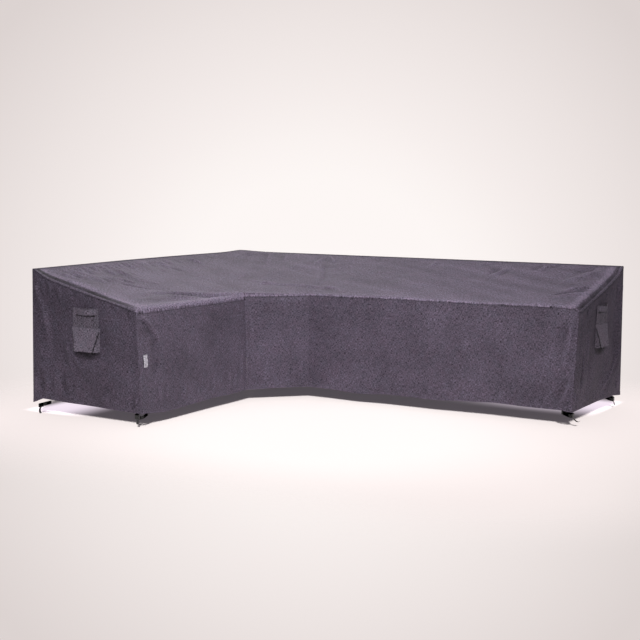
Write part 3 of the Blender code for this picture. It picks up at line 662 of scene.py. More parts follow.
def noise(tree, vector, scale, detail=2.0, roughness=0.5):
    node = addNode(tree, "ShaderNodeTexNoise", Vector=vector, Scale=scale, Detail=detail, Roughness=roughness)
    return node.outputs["Fac"]


def scaled(tree, vector, by):
    node = addNode(tree, "ShaderNodeMapping", {"vector_type": "POINT"}, Vector=vector, Scale=by)
    return node.outputs["Vector"]


def paint(tree, shader, colour, tone):
    # base colour: a colour or a socket, times a tone
    grey = addNode(tree, "ShaderNodeCombineXYZ", X=tone, Y=tone, Z=tone).outputs[0]
    tree.links.new(blendColours(tree, 1.0, colour, grey, "MULTIPLY"), shader.inputs["Base Color"])


def emboss(tree, shader, strength, distance, height, **below):
    bump = addNode(tree, "ShaderNodeBump", Strength=strength, Distance=distance, Height=height, **below)
    tree.links.new(bump.outputs["Normal"], shader.inputs["Normal"])
    return bump.outputs["Normal"]


def yarnWave(tree, parts, axis, pitch):
    # half a wave to a yarn, along one axis of the cloth's own map
    return maths(tree, "SINE", maths(tree, "MULTIPLY", parts.outputs[axis], math.pi / pitch))


def varied(tree, value, middle, amount, level):
    # level, moved up and down by amount as the value leaves its middle
    return maths(tree, "MULTIPLY_ADD", maths(tree, "SUBTRACT", value, middle), amount, level)


weave = {
    "pitch": 0.0011,
    "bump": 0.35,
    "slubBump": 0.35,
    "yarnTone": 0.16,
    "yarnRun": 28.0,  # the lower, the longer the streaks
    "slub": (330.0, 75.0),
    "heather": 2.9,
    "mottle": 0.55,
    "shade": 0.12,
    "rubbedAndLit": 0.25,
    "roughness": 0.75,
    "sheen": 0.03,
    "sheenRoughness": 0.45,
    "gloss": 0.22,
}


def wovenCloth(name, colour, pitch=weave["pitch"], sheen=weave["sheen"]):
    made, tree, shader, place = newMaterial(name)
    own = addNode(tree, "ShaderNodeUVMap", {"uv_map": "weave"}).outputs["UV"]
    parts = addNode(tree, "ShaderNodeSeparateXYZ", Vector=own)

    def both(mask, a, b):
        # a where the mask is 1, b where it is 0
        rest = maths(tree, "MULTIPLY", maths(tree, "SUBTRACT", 1.0, mask), b)
        return maths(tree, "ADD", maths(tree, "MULTIPLY", mask, a), rest)

    def streaks(across, along):
        return noise(tree, scaled(tree, own, (across, along, 1.0)), 1.0, 1.0)

    sinWarp, sinWeft = (yarnWave(tree, parts, axis, pitch) for axis in ("X", "Y"))
    over = maths(tree, "GREATER_THAN", maths(tree, "MULTIPLY", sinWarp, sinWeft), 0.0)
    rise = both(over, maths(tree, "ABSOLUTE", sinWarp), maths(tree, "ABSOLUTE", sinWeft))
    # yarns of uneven shade: long streaks both ways
    yarn = both(over, streaks(0.7 / pitch, weave["yarnRun"]), streaks(weave["yarnRun"], 0.7 / pitch))
    # short slubs of lighter and darker yarn both ways give the heathered look
    heather = maths(tree, "ADD", streaks(*weave["slub"]), streaks(*weave["slub"][::-1]))
    mottle = noise(tree, place, 55.0, 2.0, 0.6)
    shade = noise(tree, place, 5.5, 3.0, 0.55)
    tone = varied(tree, yarn, 0.5, weave["yarnTone"] * 2, 1.0)
    tone = varied(tree, heather, 1.0, weave["heather"], tone)
    tone = varied(tree, mottle, 0.5, weave["mottle"], tone)
    tone = varied(tree, shade, 0.5, weave["shade"] * 2, tone)
    # lighter on the yarns' crowns and darker between them: painted shade in the weave's hollows
    tone = maths(tree, "MULTIPLY", tone, maths(tree, "MULTIPLY_ADD", rise, 0.22, 0.86))
    # the tone follows the piece's attribute: rubbed wear together with painted highlights and painted shade
    wornAndLit = addNode(tree, "ShaderNodeAttribute", {"attribute_name": "wear"}).outputs["Fac"]
    rubbedAndLit = maths(tree, "MULTIPLY", wornAndLit, maths(tree, "ADD", noise(tree, place, 60.0), 0.5))
    tone = maths(tree, "MULTIPLY", tone, maths(tree, "MULTIPLY_ADD", rubbedAndLit, weave["rubbedAndLit"], 1.0))
    # a slight drift between a cool and a warm grey
    warm = tuple(c * k for c, k in zip(colour, (1.08, 0.97, 0.99)))
    cool = tuple(c * k for c, k in zip(colour, (0.92, 1.03, 1.01)))
    base = blendColours(tree, noise(tree, place, 23.0, 2.0), (*cool, 1.0), (*warm, 1.0))
    paint(tree, shader, base, tone)
    tree.links.new(varied(tree, shade, 0.5, 0.16, weave["roughness"]), shader.inputs["Roughness"])
    fibres = noise(tree, scaled(tree, own, (3.2 / pitch, 3.2 / pitch, 1.0)), 1.0, 2.0)
    woven = emboss(tree, shader, weave["bump"], pitch * 0.22, maths(tree, "MULTIPLY_ADD", fibres, 0.25, rise))
    emboss(tree, shader, weave["slubBump"], 0.0012, heather, Normal=woven)
    shader.inputs["Sheen Weight"].default_value = sheen
    shader.inputs["Sheen Roughness"].default_value = weave["sheenRoughness"]
    shader.inputs["Specular IOR Level"].default_value = weave["gloss"]
    return made


webbing = {"rib": 0.0016, "yarn": 0.0013, "roughness": 0.55, "sheen": 0.2}


def ribbedWebbing(name, colour):
    # flat webbing: ribs across it and fine yarns along it
    made, tree, shader, place = newMaterial(name)
    own = addNode(tree, "ShaderNodeUVMap", {"uv_map": "weave"}).outputs["UV"]
    parts = addNode(tree, "ShaderNodeSeparateXYZ", Vector=own)
    ribs, yarns = (
        maths(tree, "ABSOLUTE", yarnWave(tree, parts, axis, pitch))
        for axis, pitch in (("X", webbing["rib"]), ("Y", webbing["yarn"]))
    )
    rise = maths(tree, "MULTIPLY_ADD", yarns, 0.5, ribs)
    uneven = maths(tree, "MULTIPLY_ADD", noise(tree, place, 320.0, 2.0), 0.5, 0.75)
    # lighter on the ribs and darker between them: painted shade in the webbing's hollows
    tone = maths(tree, "MULTIPLY", maths(tree, "MULTIPLY_ADD", rise, 0.35, 0.62), uneven)
    paint(tree, shader, (*colour, 1.0), tone)
    rough = maths(tree, "MULTIPLY_ADD", noise(tree, place, 80.0), 0.2, webbing["roughness"] - 0.1)
    tree.links.new(rough, shader.inputs["Roughness"])
    emboss(tree, shader, 0.6, 0.0004, rise)
    shader.inputs["Sheen Weight"].default_value = webbing["sheen"]
    return made


def mouldedPlastic(name, colour, roughness):
    made, tree, shader, place = newMaterial(name)
    scuffs = noise(tree, place, 140.0, 4.0, 0.7)
    paint(tree, shader, (*colour, 1.0), maths(tree, "MULTIPLY_ADD", scuffs, 0.5, 0.75))
    tree.links.new(maths(tree, "MULTIPLY_ADD", scuffs, 0.25, roughness - 0.12), shader.inputs["Roughness"])
    emboss(tree, shader, 0.25, 0.0002, noise(tree, place, 1500.0, 2.0))
    return made


def sewingThread(name, colour):
    made, tree, shader, place = newMaterial(name)
    twist = noise(tree, place, 900.0, 1.0)
    paint(tree, shader, (*colour, 1.0), maths(tree, "MULTIPLY_ADD", twist, 0.6, 0.7))
    emboss(tree, shader, 0.4, 0.0002, twist)
    shader.inputs["Roughness"].default_value = 0.5
    shader.inputs["Sheen Weight"].default_value = 0.3
    return made


finishes = {
    "cloth": wovenCloth("coatedCloth", (0.075, 0.0605, 0.088)),
    "vent": wovenCloth("ventCloth", (0.146, 0.124, 0.165)),
    "patch": wovenCloth("patchCloth", (0.106, 0.090, 0.120)),
    # the handle's cloth is a lighter copy of the cloth: painted light on the lit strap
    "handle": wovenCloth("litHandleCloth", (0.124, 0.105, 0.141)),
    "tape": wovenCloth("seamTape", (0.048, 0.039, 0.056), pitch=0.0008),
    "label": wovenCloth("labelWeave", (0.36, 0.34, 0.39), pitch=0.0006, sheen=0.1),
    "webbing": ribbedWebbing("webbing", (0.020, 0.019, 0.021)),
    "buckle": mouldedPlastic("buckleNylon", (0.014, 0.014, 0.015), 0.42),
    "thread": sewingThread("seamThread", (0.072, 0.062, 0.080)),
}
print("materials made")


stitch = {"pitch": 0.0055, "length": 0.0040, "width": 0.0010, "lift": 0.0009}


def stitchTree():
    tree = bpy.data.node_groups.new("stitchRow", "GeometryNodeTree")
    tree.interface.new_socket("Geometry", in_out="INPUT", socket_type="NodeSocketGeometry")
    for size in ("pitch", "length", "width"):
        socket = tree.interface.new_socket(size.title(), in_out="INPUT", socket_type="NodeSocketFloat")
        socket.default_value = stitch[size]
    tree.interface.new_socket("Thread", in_out="INPUT", socket_type="NodeSocketMaterial")
    tree.interface.new_socket("Geometry", in_out="OUTPUT", socket_type="NodeSocketGeometry")
    given, result = tree.nodes.new("NodeGroupInput"), tree.nodes.new("NodeGroupOutput")
    line = addNode(tree, "GeometryNodeMeshToCurve", Mesh=given.outputs["Geometry"])
    even = addNode(tree, "GeometryNodeResampleCurve", {"mode": "LENGTH"},
                   Curve=line.outputs[0], Length=given.outputs["Pitch"])
    bead = addNode(tree, "GeometryNodeMeshIcoSphere", Radius=0.5, Subdivisions=1)
    thin = maths(tree, "MULTIPLY", given.outputs["Width"], 0.7)
    size = addNode(tree, "ShaderNodeCombineXYZ", X=given.outputs["Length"], Y=given.outputs["Width"], Z=thin)
    tangent = addNode(tree, "GeometryNodeInputTangent")
    turn = addNode(tree, "FunctionNodeAlignRotationToVector", {"axis": "X"}, Vector=tangent.outputs[0])
    placed = addNode(tree, "GeometryNodeInstanceOnPoints", Points=even.outputs[0], Instance=bead.outputs[0],
                     Rotation=turn.outputs[0], Scale=size.outputs[0])
    real = addNode(tree, "GeometryNodeRealizeInstances", Geometry=placed.outputs[0])
    painted = addNode(tree, "GeometryNodeSetMaterial", Geometry=real.outputs[0],
                      Material=given.outputs["Thread"])
    tree.links.new(painted.outputs[0], result.inputs["Geometry"])
    return tree


stitchNodes = stitchTree()


def sewLines(name, lines):
    # one object with a stitch along every line of points
    points, edges = [], []
    for line in lines:
        start = len(points)
        points.extend(map(tuple, line))
        edges.extend((start + k, start + k + 1) for k in range(len(line) - 1))
    mesh = bpy.data.meshes.new(name + "Line")
    mesh.from_pydata(points, edges, [])
    path = newObject(name + "Line", mesh)
    modifier = path.modifiers.new("stitches", "NODES")
    modifier.node_group = stitchNodes
    for item in stitchNodes.interface.items_tree:
        if item.name == "Thread":
            modifier[item.identifier] = finishes["thread"]
    sewn = bpy.data.meshes.new_from_object(path.evaluated_get(bpy.context.evaluated_depsgraph_get()))
    bpy.data.objects.remove(path)
    sewn.name = name
    sewn.polygons.foreach_set("use_smooth", np.ones(len(sewn.polygons), bool))
    return newPiece(name, sewn)


def sewPanel(name, node, grid, towards, uv, thickness, wear, sewn=(True, True)):
    # a panel of the sides, with stitches along its hem, under its top seam and beside its sewn borders
    piece = clothSheet(name, grid, towards, thickness, uv, finishes["cloth"], wear)
    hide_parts(node)
    lifted = grid + gridNormals(grid, towards) * stitch["lift"]
    lines = [lifted[3:-3, -1 - hemStitchLine], lifted[3:-3, seamStitchLine]]
    lines += [lifted[k, 3:] for k, used in zip((seamStitchLine, -1 - seamStitchLine), sewn) if used]
    stitches = sewLines(name + "Stitches", lines)


def topProfile(station, cell, rollCells):
    # the sloping top from its back edge, then its front edge rolled down to the seam
    radius, seam = rollRadius(station), seamHeight(station)
    back, start = backRail(station), frontRail(station, -radius * (1 - math.sin(slope)))
    startZ = seam + radius * math.cos(slope)
    backZ = backEdgeHeight(station)
    ends = np.exp(-np.minimum(station, 4 - station) / cover["endSagReach"])
    length = np.linalg.norm(start - back, axis=1)
    columns = []
    for fixed, part in zip(*ladder(0.80, cell, (0.0, 0.0015, 0.004, 0.009, 0.013), (0.0, 0.010))):
        at = fixed / length + part
        sag = cover["endSag"] * ends * 6.75 * at * (1 - at) ** 2
        plan = back + (start - back) * at[:, None]
        columns.append(np.column_stack([plan, backZ + (startZ - backZ) * at - sag]))
    for share in np.linspace(0, 1, rollCells + 1)[1:]:
        angle = (math.pi / 2 - slope) * (1 - share)
        plan = frontRail(station, radius * (math.cos(angle) - 1))
        columns.append(np.column_stack([plan, seam + radius * math.sin(angle)]))
    return np.stack(columns, axis=1)


def inset(grid, first=0.0, last=0.0, near=0.0, far=0.0):
    # draws each border in by its own distance, to leave room for the next panel
    grid = grid.copy()
    for rows, distances in ((grid, (first, last)), (grid.swapaxes(0, 1), (near, far))):
        for (border, beside), by in zip(((0, 1), (-1, -2)), distances):
            step = rows[beside] - rows[border]
            length = np.linalg.norm(step, axis=-1, keepdims=True)
            rows[border] += step / length * np.minimum(by, 0.8 * length)
    return grid


def partRipple(across, along, phase):
    # the shallow waves that the part has too
    return 0.0025 * (
        np.sin(5.3 * across + 2.1 * along + phase)
        + 0.7 * np.sin(11.0 * across - 4.7 * along + 2 * phase)
        + 0.5 * np.sin(3.1 * across + 13.0 * along + 3 * phase)
    )


up = (0, 0, 1)


def endRoll(across, arm):
    # how far the top is drawn down at a slanted end, none at its back corner
    return cover["endRoll"][arm] * smooth(across, 0.003, 0.11) * smooth(depth - across, -0.004, 0.03)


def rollEnds(grid):
    # draws the last strip of the top down at each end, below a soft ridge
    for rows, arm in ((grid, "short"), (grid[::-1], "long")):
        edge, strip = rows[0].copy(), cover["endStrip"][arm]
        drop = endRoll(edge[:, 0] - cornerX if arm == "short" else cornerY - edge[:, 1], arm)
        for row in rows:
            share = 1 - np.linalg.norm((row - edge)[:, :2], axis=1) / strip
            if share.max() < -1.5:
                break
            row[:, 2] -= drop * (share + np.sqrt(share * share + 0.03)) / (1 + math.sqrt(1.03))
    return grid


top = {
    "cell": 0.0125,
    "slopeCell": 0.0118,
    "rollCells": 8,
    # grid lines beside the ends, past those of the seam
    "endSteps": (0.018, 0.022, 0.026, 0.030, 0.034, 0.039, 0.045, 0.053, 0.062),
    "folds": 1.1,
    "creases": 2.6,
    "creaseWidth": 1.45,
    "crumple": 2.2,
    "rollHighlight": 2.4,
    "mostWornOrLit": 2.5,
}
# Lighter and darker bands of the top, with painted highlights at the front edge and on and beside the ridges
# at the ends, and a darker line along the back edge: (amount, distance from that edge, half width)
topBands = {
    "front": (0.9, 0.0, 0.05),
    "behindShortFront": (1.3, 0.045, 0.045),
    "longRidge": (2.6, 0.058, 0.024),
    "shortRidge": (2.0, 0.066, 0.020),
    "besideShortRidge": (0.8, 0.100, 0.045),
    "back": (-0.8, 0.0, 0.022),
}


# Painted shade on the strips drawn down over the ends: (amount, width)
topStrips = {"long": (2.0, 0.042), "short": (2.8, 0.050), "shortEdge": (0.9, 0.030)}


def topBand(name, off):
    amount, at, width = topBands[name]
    return amount * bell(off - at, width)


def topStrip(name, off, fade=0.006):
    amount, width = topStrips[name]
    return amount * smooth(width - off, 0, fade)


def topPaintedLight(grid, roll, station):
    # painted highlights where it is drawn over the front edge and along the ridges at the ends, painted shade
    # below them
    toFront = np.linalg.norm(grid - grid[:, -1:], axis=2)
    toShort, toLong = np.linalg.norm(grid - grid[:1], axis=2), np.linalg.norm(grid - grid[-1:], axis=2)
    wear = top["rollHighlight"] * bell(roll - 3, 2.2)[None, :] + topBand("front", toFront)
    wear = wear + topBand("behindShortFront", toFront) * (station < 1)[:, None]
    wear += topBand("longRidge", toLong) - topStrip("long", toLong)
    wear += topBand("shortRidge", toShort) + topBand("besideShortRidge", toShort)
    wear -= topStrip("short", toShort) * smooth(toShort, 0.012, 0.026)
    wear -= topStrip("shortEdge", toShort, 0.02)
    # and a little painted shade over the middle of the long arm
    return wear - 0.5 * bell(grid[..., 0] - 1.35, 0.60) * bell(grid[..., 1] + 0.35, 0.40)


def makeTop():
    endSteps = seamSteps + top["endSteps"]
    station, _ = stationRow(0, 4, spanLengths, top["cell"], endSteps, endSteps)
    # the roll changes within a finger's width, at the seam between the two fronts
    close = np.searchsorted(station, 1.0)
    station[close - 1], station[close - 2] = cover["rollChange"] + 0.006, cover["rollChange"]
    grid = rollEnds(leanEnds(topProfile(station, top["slopeCell"], top["rollCells"]), station))
    x, y = grid[..., 0], grid[..., 1]
    creases = top["creases"] * fineFolds(topCreases, x, y, top["creaseWidth"])
    height = top["folds"] * broadFolds(topFolds, x, y) + partRipple(x, y, 0.4) + creases
    height += top["crumple"] * crumple(x, y, 3)
    roll = np.arange(grid.shape[1]) - (grid.shape[1] - 1 - top["rollCells"])
    height *= np.where(roll > 0, np.clip(1 - roll / top["rollCells"], 0, 1) * 0.35, 1.0)
    grid, thickness, wear = finishPanel(grid, up, False, height, 40)
    grid = inset(grid, seamInset, seamInset, seamInset, cover["gap"])
    # the painted highlights and painted shade are added to the rest, up to the lightest tone
    wear = np.minimum(wear + topPaintedLight(grid, roll, station), top["mostWornOrLit"])
    toBack = np.linalg.norm(grid - grid[:, :1], axis=2)
    # crests lighter, partly crease whitening and partly painted highlight, and painted shade in the troughs;
    # darker along the back edge
    wear += np.clip(creases / 0.010, -0.9, 1.1) + topBand("back", toBack)
    piece = clothSheet("topCloth", grid, up, thickness, grid[..., :2], finishes["cloth"], wear)
    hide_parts("top_panel")
    lifted = grid + gridNormals(grid, up) * stitch["lift"]
    stitches = sewLines("topStitches", [lifted[k, 4:] for k in (seamStitchLine, -1 - seamStitchLine)])
    return grid


# Each panel's grid step, the height that its steps are counted for, and how strong its folds are
front = {"cell": 0.0085, "height": 0.57, "creases": 1.5, "ripple": 0.6, "crumple": 1.2}
back = {"cell": 0.0125, "height": 0.79}
end = {
    "cell": 0.0072,
    "height": 0.69,
    "creases": 1.4,
    "crumple": 1.2,
    "flatRound": 0.050,  # the folds die out this far round the handle and the hood
    # the painted shadow under the hood is set by the next two: its shape, then how dark it is
    "hoodShadow": (0.105, 0.038, 0.012),  # under the hood: half width, half height, how far below its foot
    "shade": 3.2,
}


def hungPanel(rail, upper, hem, panel, along, station):
    # a panel hung from its seam down to its hem: the grid, the station and the distance along at each point
    columns = []
    for fixed, part in zip(*ladder(panel["height"], panel["cell"], seamSteps, hemSteps)):
        at = fixed / (upper - hem) + part
        columns.append(np.column_stack([rail(at), upper + (hem - upper) * at]))
    grid = leanEnds(np.stack(columns, axis=1), station)
    return grid, *(np.repeat(row[:, None], grid.shape[1], axis=1) for row in (station, along))


def makeFront(name, node, first, last, leftInset, rightInset, creases, seed):
    towards = (1, 0, 0) if last == 1 else (0.4, -1, 0)
    station, along = stationRow(first, last, frontLengths, front["cell"], seamSteps, seamSteps)
    rolled = np.clip(station, 0, cover["rollChange"]) if last == 1 else np.maximum(station, 1.0)
    hem = hemZ + hemHeight(frontHem, station)
    grid, across, metres = hungPanel(
        lambda at: frontRail(station, cover["hemSpread"] * at), seamHeight(rolled), hem, front, along, station
    )
    z = grid[..., 2]
    folds = front["creases"] * fineFolds(creases, metres, z)
    height = broadFolds(frontFolds, across, z) + front["ripple"] * partRipple(metres, z, 1.3) + folds
    height += front["crumple"] * crumple(metres, z, seed)
    grid, thickness, wear = finishPanel(grid, towards, True, height, seed)
    # crests lighter, partly crease whitening and partly painted highlight, and painted shade in the troughs
    wear += np.clip(folds / 0.008, -0.7, 0.9)
    grid = inset(grid, leftInset, rightInset, cover["gap"], 0)
    uv = np.stack([metres, z], axis=-1)
    sewPanel(name, node, grid, towards, uv, thickness, wear, sewn=(first == 0, last == 4))


def makeBack(name, node, first, last, towards, creases, seed):
    station, along = stationRow(first, last, spanLengths, back["cell"], seamSteps, seamSteps)
    hem = hemZ + hemHeight(backHem, station)
    # the hem stands out, but not at the back corner, where the two backs meet
    flare = np.outer(cover["backFlare"] * smooth(np.abs(station - 2), 0, 0.3), towards[:2])
    grid, across, metres = hungPanel(
        lambda at: backRail(station) + flare * at[:, None],
        backEdgeHeight(station), hem, back, along, station,
    )
    z = grid[..., 2]
    height = broadFolds(backFolds, across, z) + partRipple(metres, z, 2.2)
    height += fineFolds(creases, metres, z) + crumple(metres, z, seed)
    grid, thickness, wear = finishPanel(grid, towards, True, height, seed)
    grid = inset(grid, seamInset, seamInset, seamInset, 0)
    sewPanel(name, node, grid, towards, np.stack([metres, z], axis=-1), thickness, wear)


fittings = {
    "short": {"middle": 0.412, "handleTop": -0.210},
    "long": {"middle": 0.390, "handleTop": -0.194},
}
hood = {
    "drop": 0.110,
    "height": 0.142,
    "topWidth": 0.212,
    "baseWidth": 0.200,
    "lipWidth": 0.136,
    "topStand": 0.004,
    "stand": 0.034,
    "low": 0.0016,  # how far its foot stands off the panel
    "wall": 0.001125,
    "round": 0.0035,  # at the folds between its face and its walls
    "sag": 0.0050,  # how far its face hangs in at the lip
    "droop": 0.00175,
    "wave": 0.0012,
    "hem": 0.0125,  # the doubled cloth along its lip
    "hemRise": 0.0008,
    "cells": (8, 26, 8),  # across a side wall, the face and the other wall
}


def endPoint(arm, across, z, off):
    drop = (topZ - z) / backHeight
    lean = tuck(np.clip(across / depth, 0, 1), arm) * drop
    if arm == "long":
        x, y = cornerX + cover["longArm"] - lean + off, cornerY - across
    else:
        x, y = cornerX + across, cornerY - cover["shortArm"] + lean - off
    return np.stack(np.broadcast_arrays(x, y, z), axis=-1)


sideOut = {"long": (1, 0, 0), "short": (0, -1, 0)}


def onEnd(arm, side):
    # distance from the back edge, for a distance to one side of the fittings' middle
    return fittings[arm]["middle"] + side if arm == "short" else fittings[arm]["middle"] - side


def makeEnd(arm, creases, seed):
    fit = fittings[arm]
    edge = topProfile(np.array([4.0 if arm == "long" else 0.0]), 0.0078, 6)[0]
    edgeAcross = cornerY - edge[:, 1] if arm == "long" else edge[:, 0] - cornerX
    frontSteps = seamSteps + (0.020, 0.028, 0.036)
    along, part = ladder(depth, end["cell"], seamSteps, frontSteps)
    along = along + part * depth
    share = along / depth
    order = np.argsort(edgeAcross)
    upper = np.interp(along, edgeAcross[order], edge[order, 2]) - endRoll(along, arm) - seamInset
    hem = hemZ + hemHeight(endHem[arm], share)
    inner = seamInset + along * (depth - 2 * seamInset) / depth
    spread = cover["hemSpread"] * share - cover["backFlare"] * (1 - share)
    rows = []
    for fixed, part in zip(*ladder(end["height"], end["cell"], seamSteps, hemSteps)):
        at = fixed / (upper - hem) + part
        rows.append(endPoint(arm, inner + spread * at, upper + (hem - upper) * at, 0.0))
    grid = np.stack(rows, axis=1)
    z = grid[..., 2]
    across = np.repeat(along[:, None], grid.shape[1], axis=1)
    # the folds die out round the handle and the hood, which lie flat on the cloth
    hoodFoot = fit["handleTop"] - hood["drop"] - hood["height"]
    above = np.maximum(z - (fit["handleTop"] + 0.008), hoodFoot - z)
    outside = np.maximum(np.abs(across - fit["middle"]) - hood["topWidth"] / 2, above)
    free = smooth(outside, 0.0, end["flatRound"])
    toSeam = np.minimum(np.minimum(across, depth - across), upper[:, None] - z)
    height = broadFolds(endFolds, across, z) + partRipple(2 * across, z, 3.1)
    height = height * np.clip(toSeam / 0.060, 0, 1) * smooth(outside, 0.02, 0.08)
    folds = end["creases"] * fineFolds(creases, across, z) * free
    height += folds + end["crumple"] * crumple(across, z, seed) * free
    grid, thickness, wear = finishPanel(grid, sideOut[arm], True, height, seed)
    # crests lighter, partly crease whitening and partly painted highlight, troughs darker with painted shade,
    # and a painted shadow on the cloth under the hood
    halfWidth, halfHeight, below = end["hoodShadow"]
    hoodShadow = 1 - ((across - fit["middle"]) / halfWidth) ** 2 - ((z - hoodFoot + below) / halfHeight) ** 2
    wear += np.clip(folds / 0.008, -0.9, 1.0) - end["shade"] * np.clip(hoodShadow, 0, 1) ** 0.7
    sewPanel(f"endCloth{arm.title()}", f"end_panel_{arm}", grid, sideOut[arm], np.stack([across, z], axis=-1),
             thickness, wear)


print("sewing the panels")
topGrid = makeTop()
slantInset = cover["clothInPart"] / 2 * math.tan(math.pi / 8) + cover["gap"] / 2
makeFront("frontClothShort", "front_panel_short", 0, 1, seamInset, slantInset, shortFrontCreases, 60)
makeFront("frontClothLong", "front_panel_long", 1, 4, slantInset, seamInset, longFrontCreases, 80)
makeBack("backClothShort", "back_panel_short", 0, 2, (-1, 0, 0), backCreases["short"], 100)
makeBack("backClothLong", "back_panel_long", 2, 4, (0, 1, 0), backCreases["long"], 120)
for arm, seed in (("short", 140), ("long", 160)):
    makeEnd(arm, endCreases[arm], seed)
print("panels done")


def laidOver(grid, towards, strip):
    # a strip laid over a panel: its points at set distances from the panel's first column, each with its lift
    distances, lifts = np.array(strip["across"]), np.array(strip["lift"])
    normals = gridNormals(grid, towards)
    run = runAlong(grid.swapaxes(0, 1)).T
    laid = np.empty((len(grid), len(distances), 3))
    for i, row in enumerate(run):
        for k in range(3):
            laid[i, :, k] = np.interp(distances, row, grid[i, :, k])
            laid[i, :, k] += lifts * np.interp(distances, row, normals[i, :, k])
    along = runAlong(laid[:, 0])
    return laid, along, np.stack(np.broadcast_arrays(along[:, None], distances), axis=-1)


backTape = {
    "across": (0.0, 0.0006, 0.0018, 0.0035, 0.0055, 0.0068, 0.0082, 0.0090),
    "lift": (0.0019, 0.0025, 0.0029, 0.0030, 0.0028, 0.0024, 0.0026, 0.0021),
    "thickness": 0.0016,
}


def makeBinding(grid):
    laid, along, uv = laidOver(grid[1:-1], up, backTape)
    laid[..., 2] += (0.0003 * gradientNoise(along / 0.016, 0 * along, 7))[:, None]
    piece = clothSheet("backTape", laid, up, backTape["thickness"], uv, finishes["tape"])
    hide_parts("back_binding")
    stitches = sewLines("backTapeStitches", [laid[2:-2, 5] + (0, 0, stitch["lift"])])


endWelt = {
    "across": (0.0, 0.0008, 0.0024, 0.0038, 0.0052, 0.0080, 0.0108, 0.0122, 0.0136, 0.0152, 0.0160),
    "lift": (0.0018, 0.0022, 0.0025, 0.0021, 0.0027, 0.0029, 0.0027, 0.0021, 0.0024, 0.0021, 0.0018),
    "thickness": 0.0015,
    # painted shade along the short end's seam and a painted highlight along the long end's
    "wear": {"short": -0.6, "long": 0.4},
}


def makeWelt(grid, arm):
    rows = grid if arm == "short" else grid[::-1]
    laid, _, uv = laidOver(rows[:12, 4:-5].swapaxes(0, 1), up, endWelt)
    wear = np.full(laid.shape[:2], endWelt["wear"][arm])
    name = f"endSeam{arm.title()}"
    piece = clothSheet(name, laid, up, endWelt["thickness"], uv, finishes["cloth"], wear)
    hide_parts(f"end_welt_{arm}")
    lifted = laid + gridNormals(laid, up) * stitch["lift"]
    stitches = sewLines(name + "Stitches", [lifted[1:-1, k] for k in (3, 7)])


makeBinding(topGrid)
for arm in ("short", "long"):
    makeWelt(topGrid, arm)
print("tape and end seams done")


patch = {
    "width": 0.196,
    "rise": 0.004,  # over the handle's top
    "thickness": 0.0010,
    "strips": (-0.032, 0.062),  # past these two folds the patch is doubled
    "stripRise": 0.0009,
    "stand": 0.0013,
    "edgeRise": 0.0012,  # from its sewn edge to its middle
    "wave": 0.0009,
    "cell": 0.0035,
    "border": (0.0, 0.001, 0.0025),
}
handle = {
    "width": 0.172,
    "height": 0.034,
    "thickness": 0.0026,
    "thinner": 0.0012,  # at its upper and lower edge
    "low": 0.0042,  # how far its sewn ends stand off the panel
    "stand": 0.018,  # and how much farther its middle does
    "sewn": 0.016,
    "sag": 0.004,
    "crown": 0.0008,
}
face = cover["clothInPart"] / 2 + cover["gap"]


def makePatch(arm):
    fit, (low, high), width = fittings[arm], patch["strips"], patch["width"]
    fixed, part = ladder(width, patch["cell"], patch["border"], patch["border"])
    u = fixed + part * width - width / 2
    top, bottom = fit["handleTop"] + patch["rise"], fit["handleTop"] - hood["drop"] + 2 * cover["gap"]
    fixed, part = ladder(top - bottom, patch["cell"], patch["border"], patch["border"])
    side, level = np.meshgrid(u, top - fixed - part * (top - bottom), indexing="ij")
    raised = 1 - smooth(side, low - 0.002, low + 0.001) + smooth(side, high - 0.001, high + 0.002)
    border = np.minimum(width / 2 - np.abs(side), np.minimum(top - level, level - bottom))
    off = face + patch["stand"] + patch["stripRise"] * raised + patch["edgeRise"] * smooth(border, 0, 0.004)
    off += patch["wave"] * gradientNoise(side / 0.05, level / 0.06, 31 + len(arm))
    grid = endPoint(arm, onEnd(arm, side), level, off)
    # painted shadow under the handle's lower edge and painted shade in the two folds
    handleFoot = fit["handleTop"] - handle["height"]
    wear = -3.2 * bell(handleFoot - 0.006 - level, 0.006) * (np.abs(side) < 0.072)
    wear -= 1.6 * (bell(side - low, 0.003) + bell(side - high, 0.003))
    name, uv = f"handlePatch{arm.title()}", np.stack([side, level], axis=-1)
    piece = clothSheet(name, grid, sideOut[arm], patch["thickness"], uv, finishes["patch"], wear)
    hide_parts(f"handle_patch_{arm}")
    lifted = grid + np.array(sideOut[arm]) * 0.0007
    lines = [lifted[3, 2:-2], lifted[-4, 2:-2], lifted[2:-2, 3]]
    lines += [lifted[np.abs(u - at).argmin(), 2:-2] for at in (low - 0.004, high + 0.004)]
    stitches = sewLines(name + "Stitches", lines)


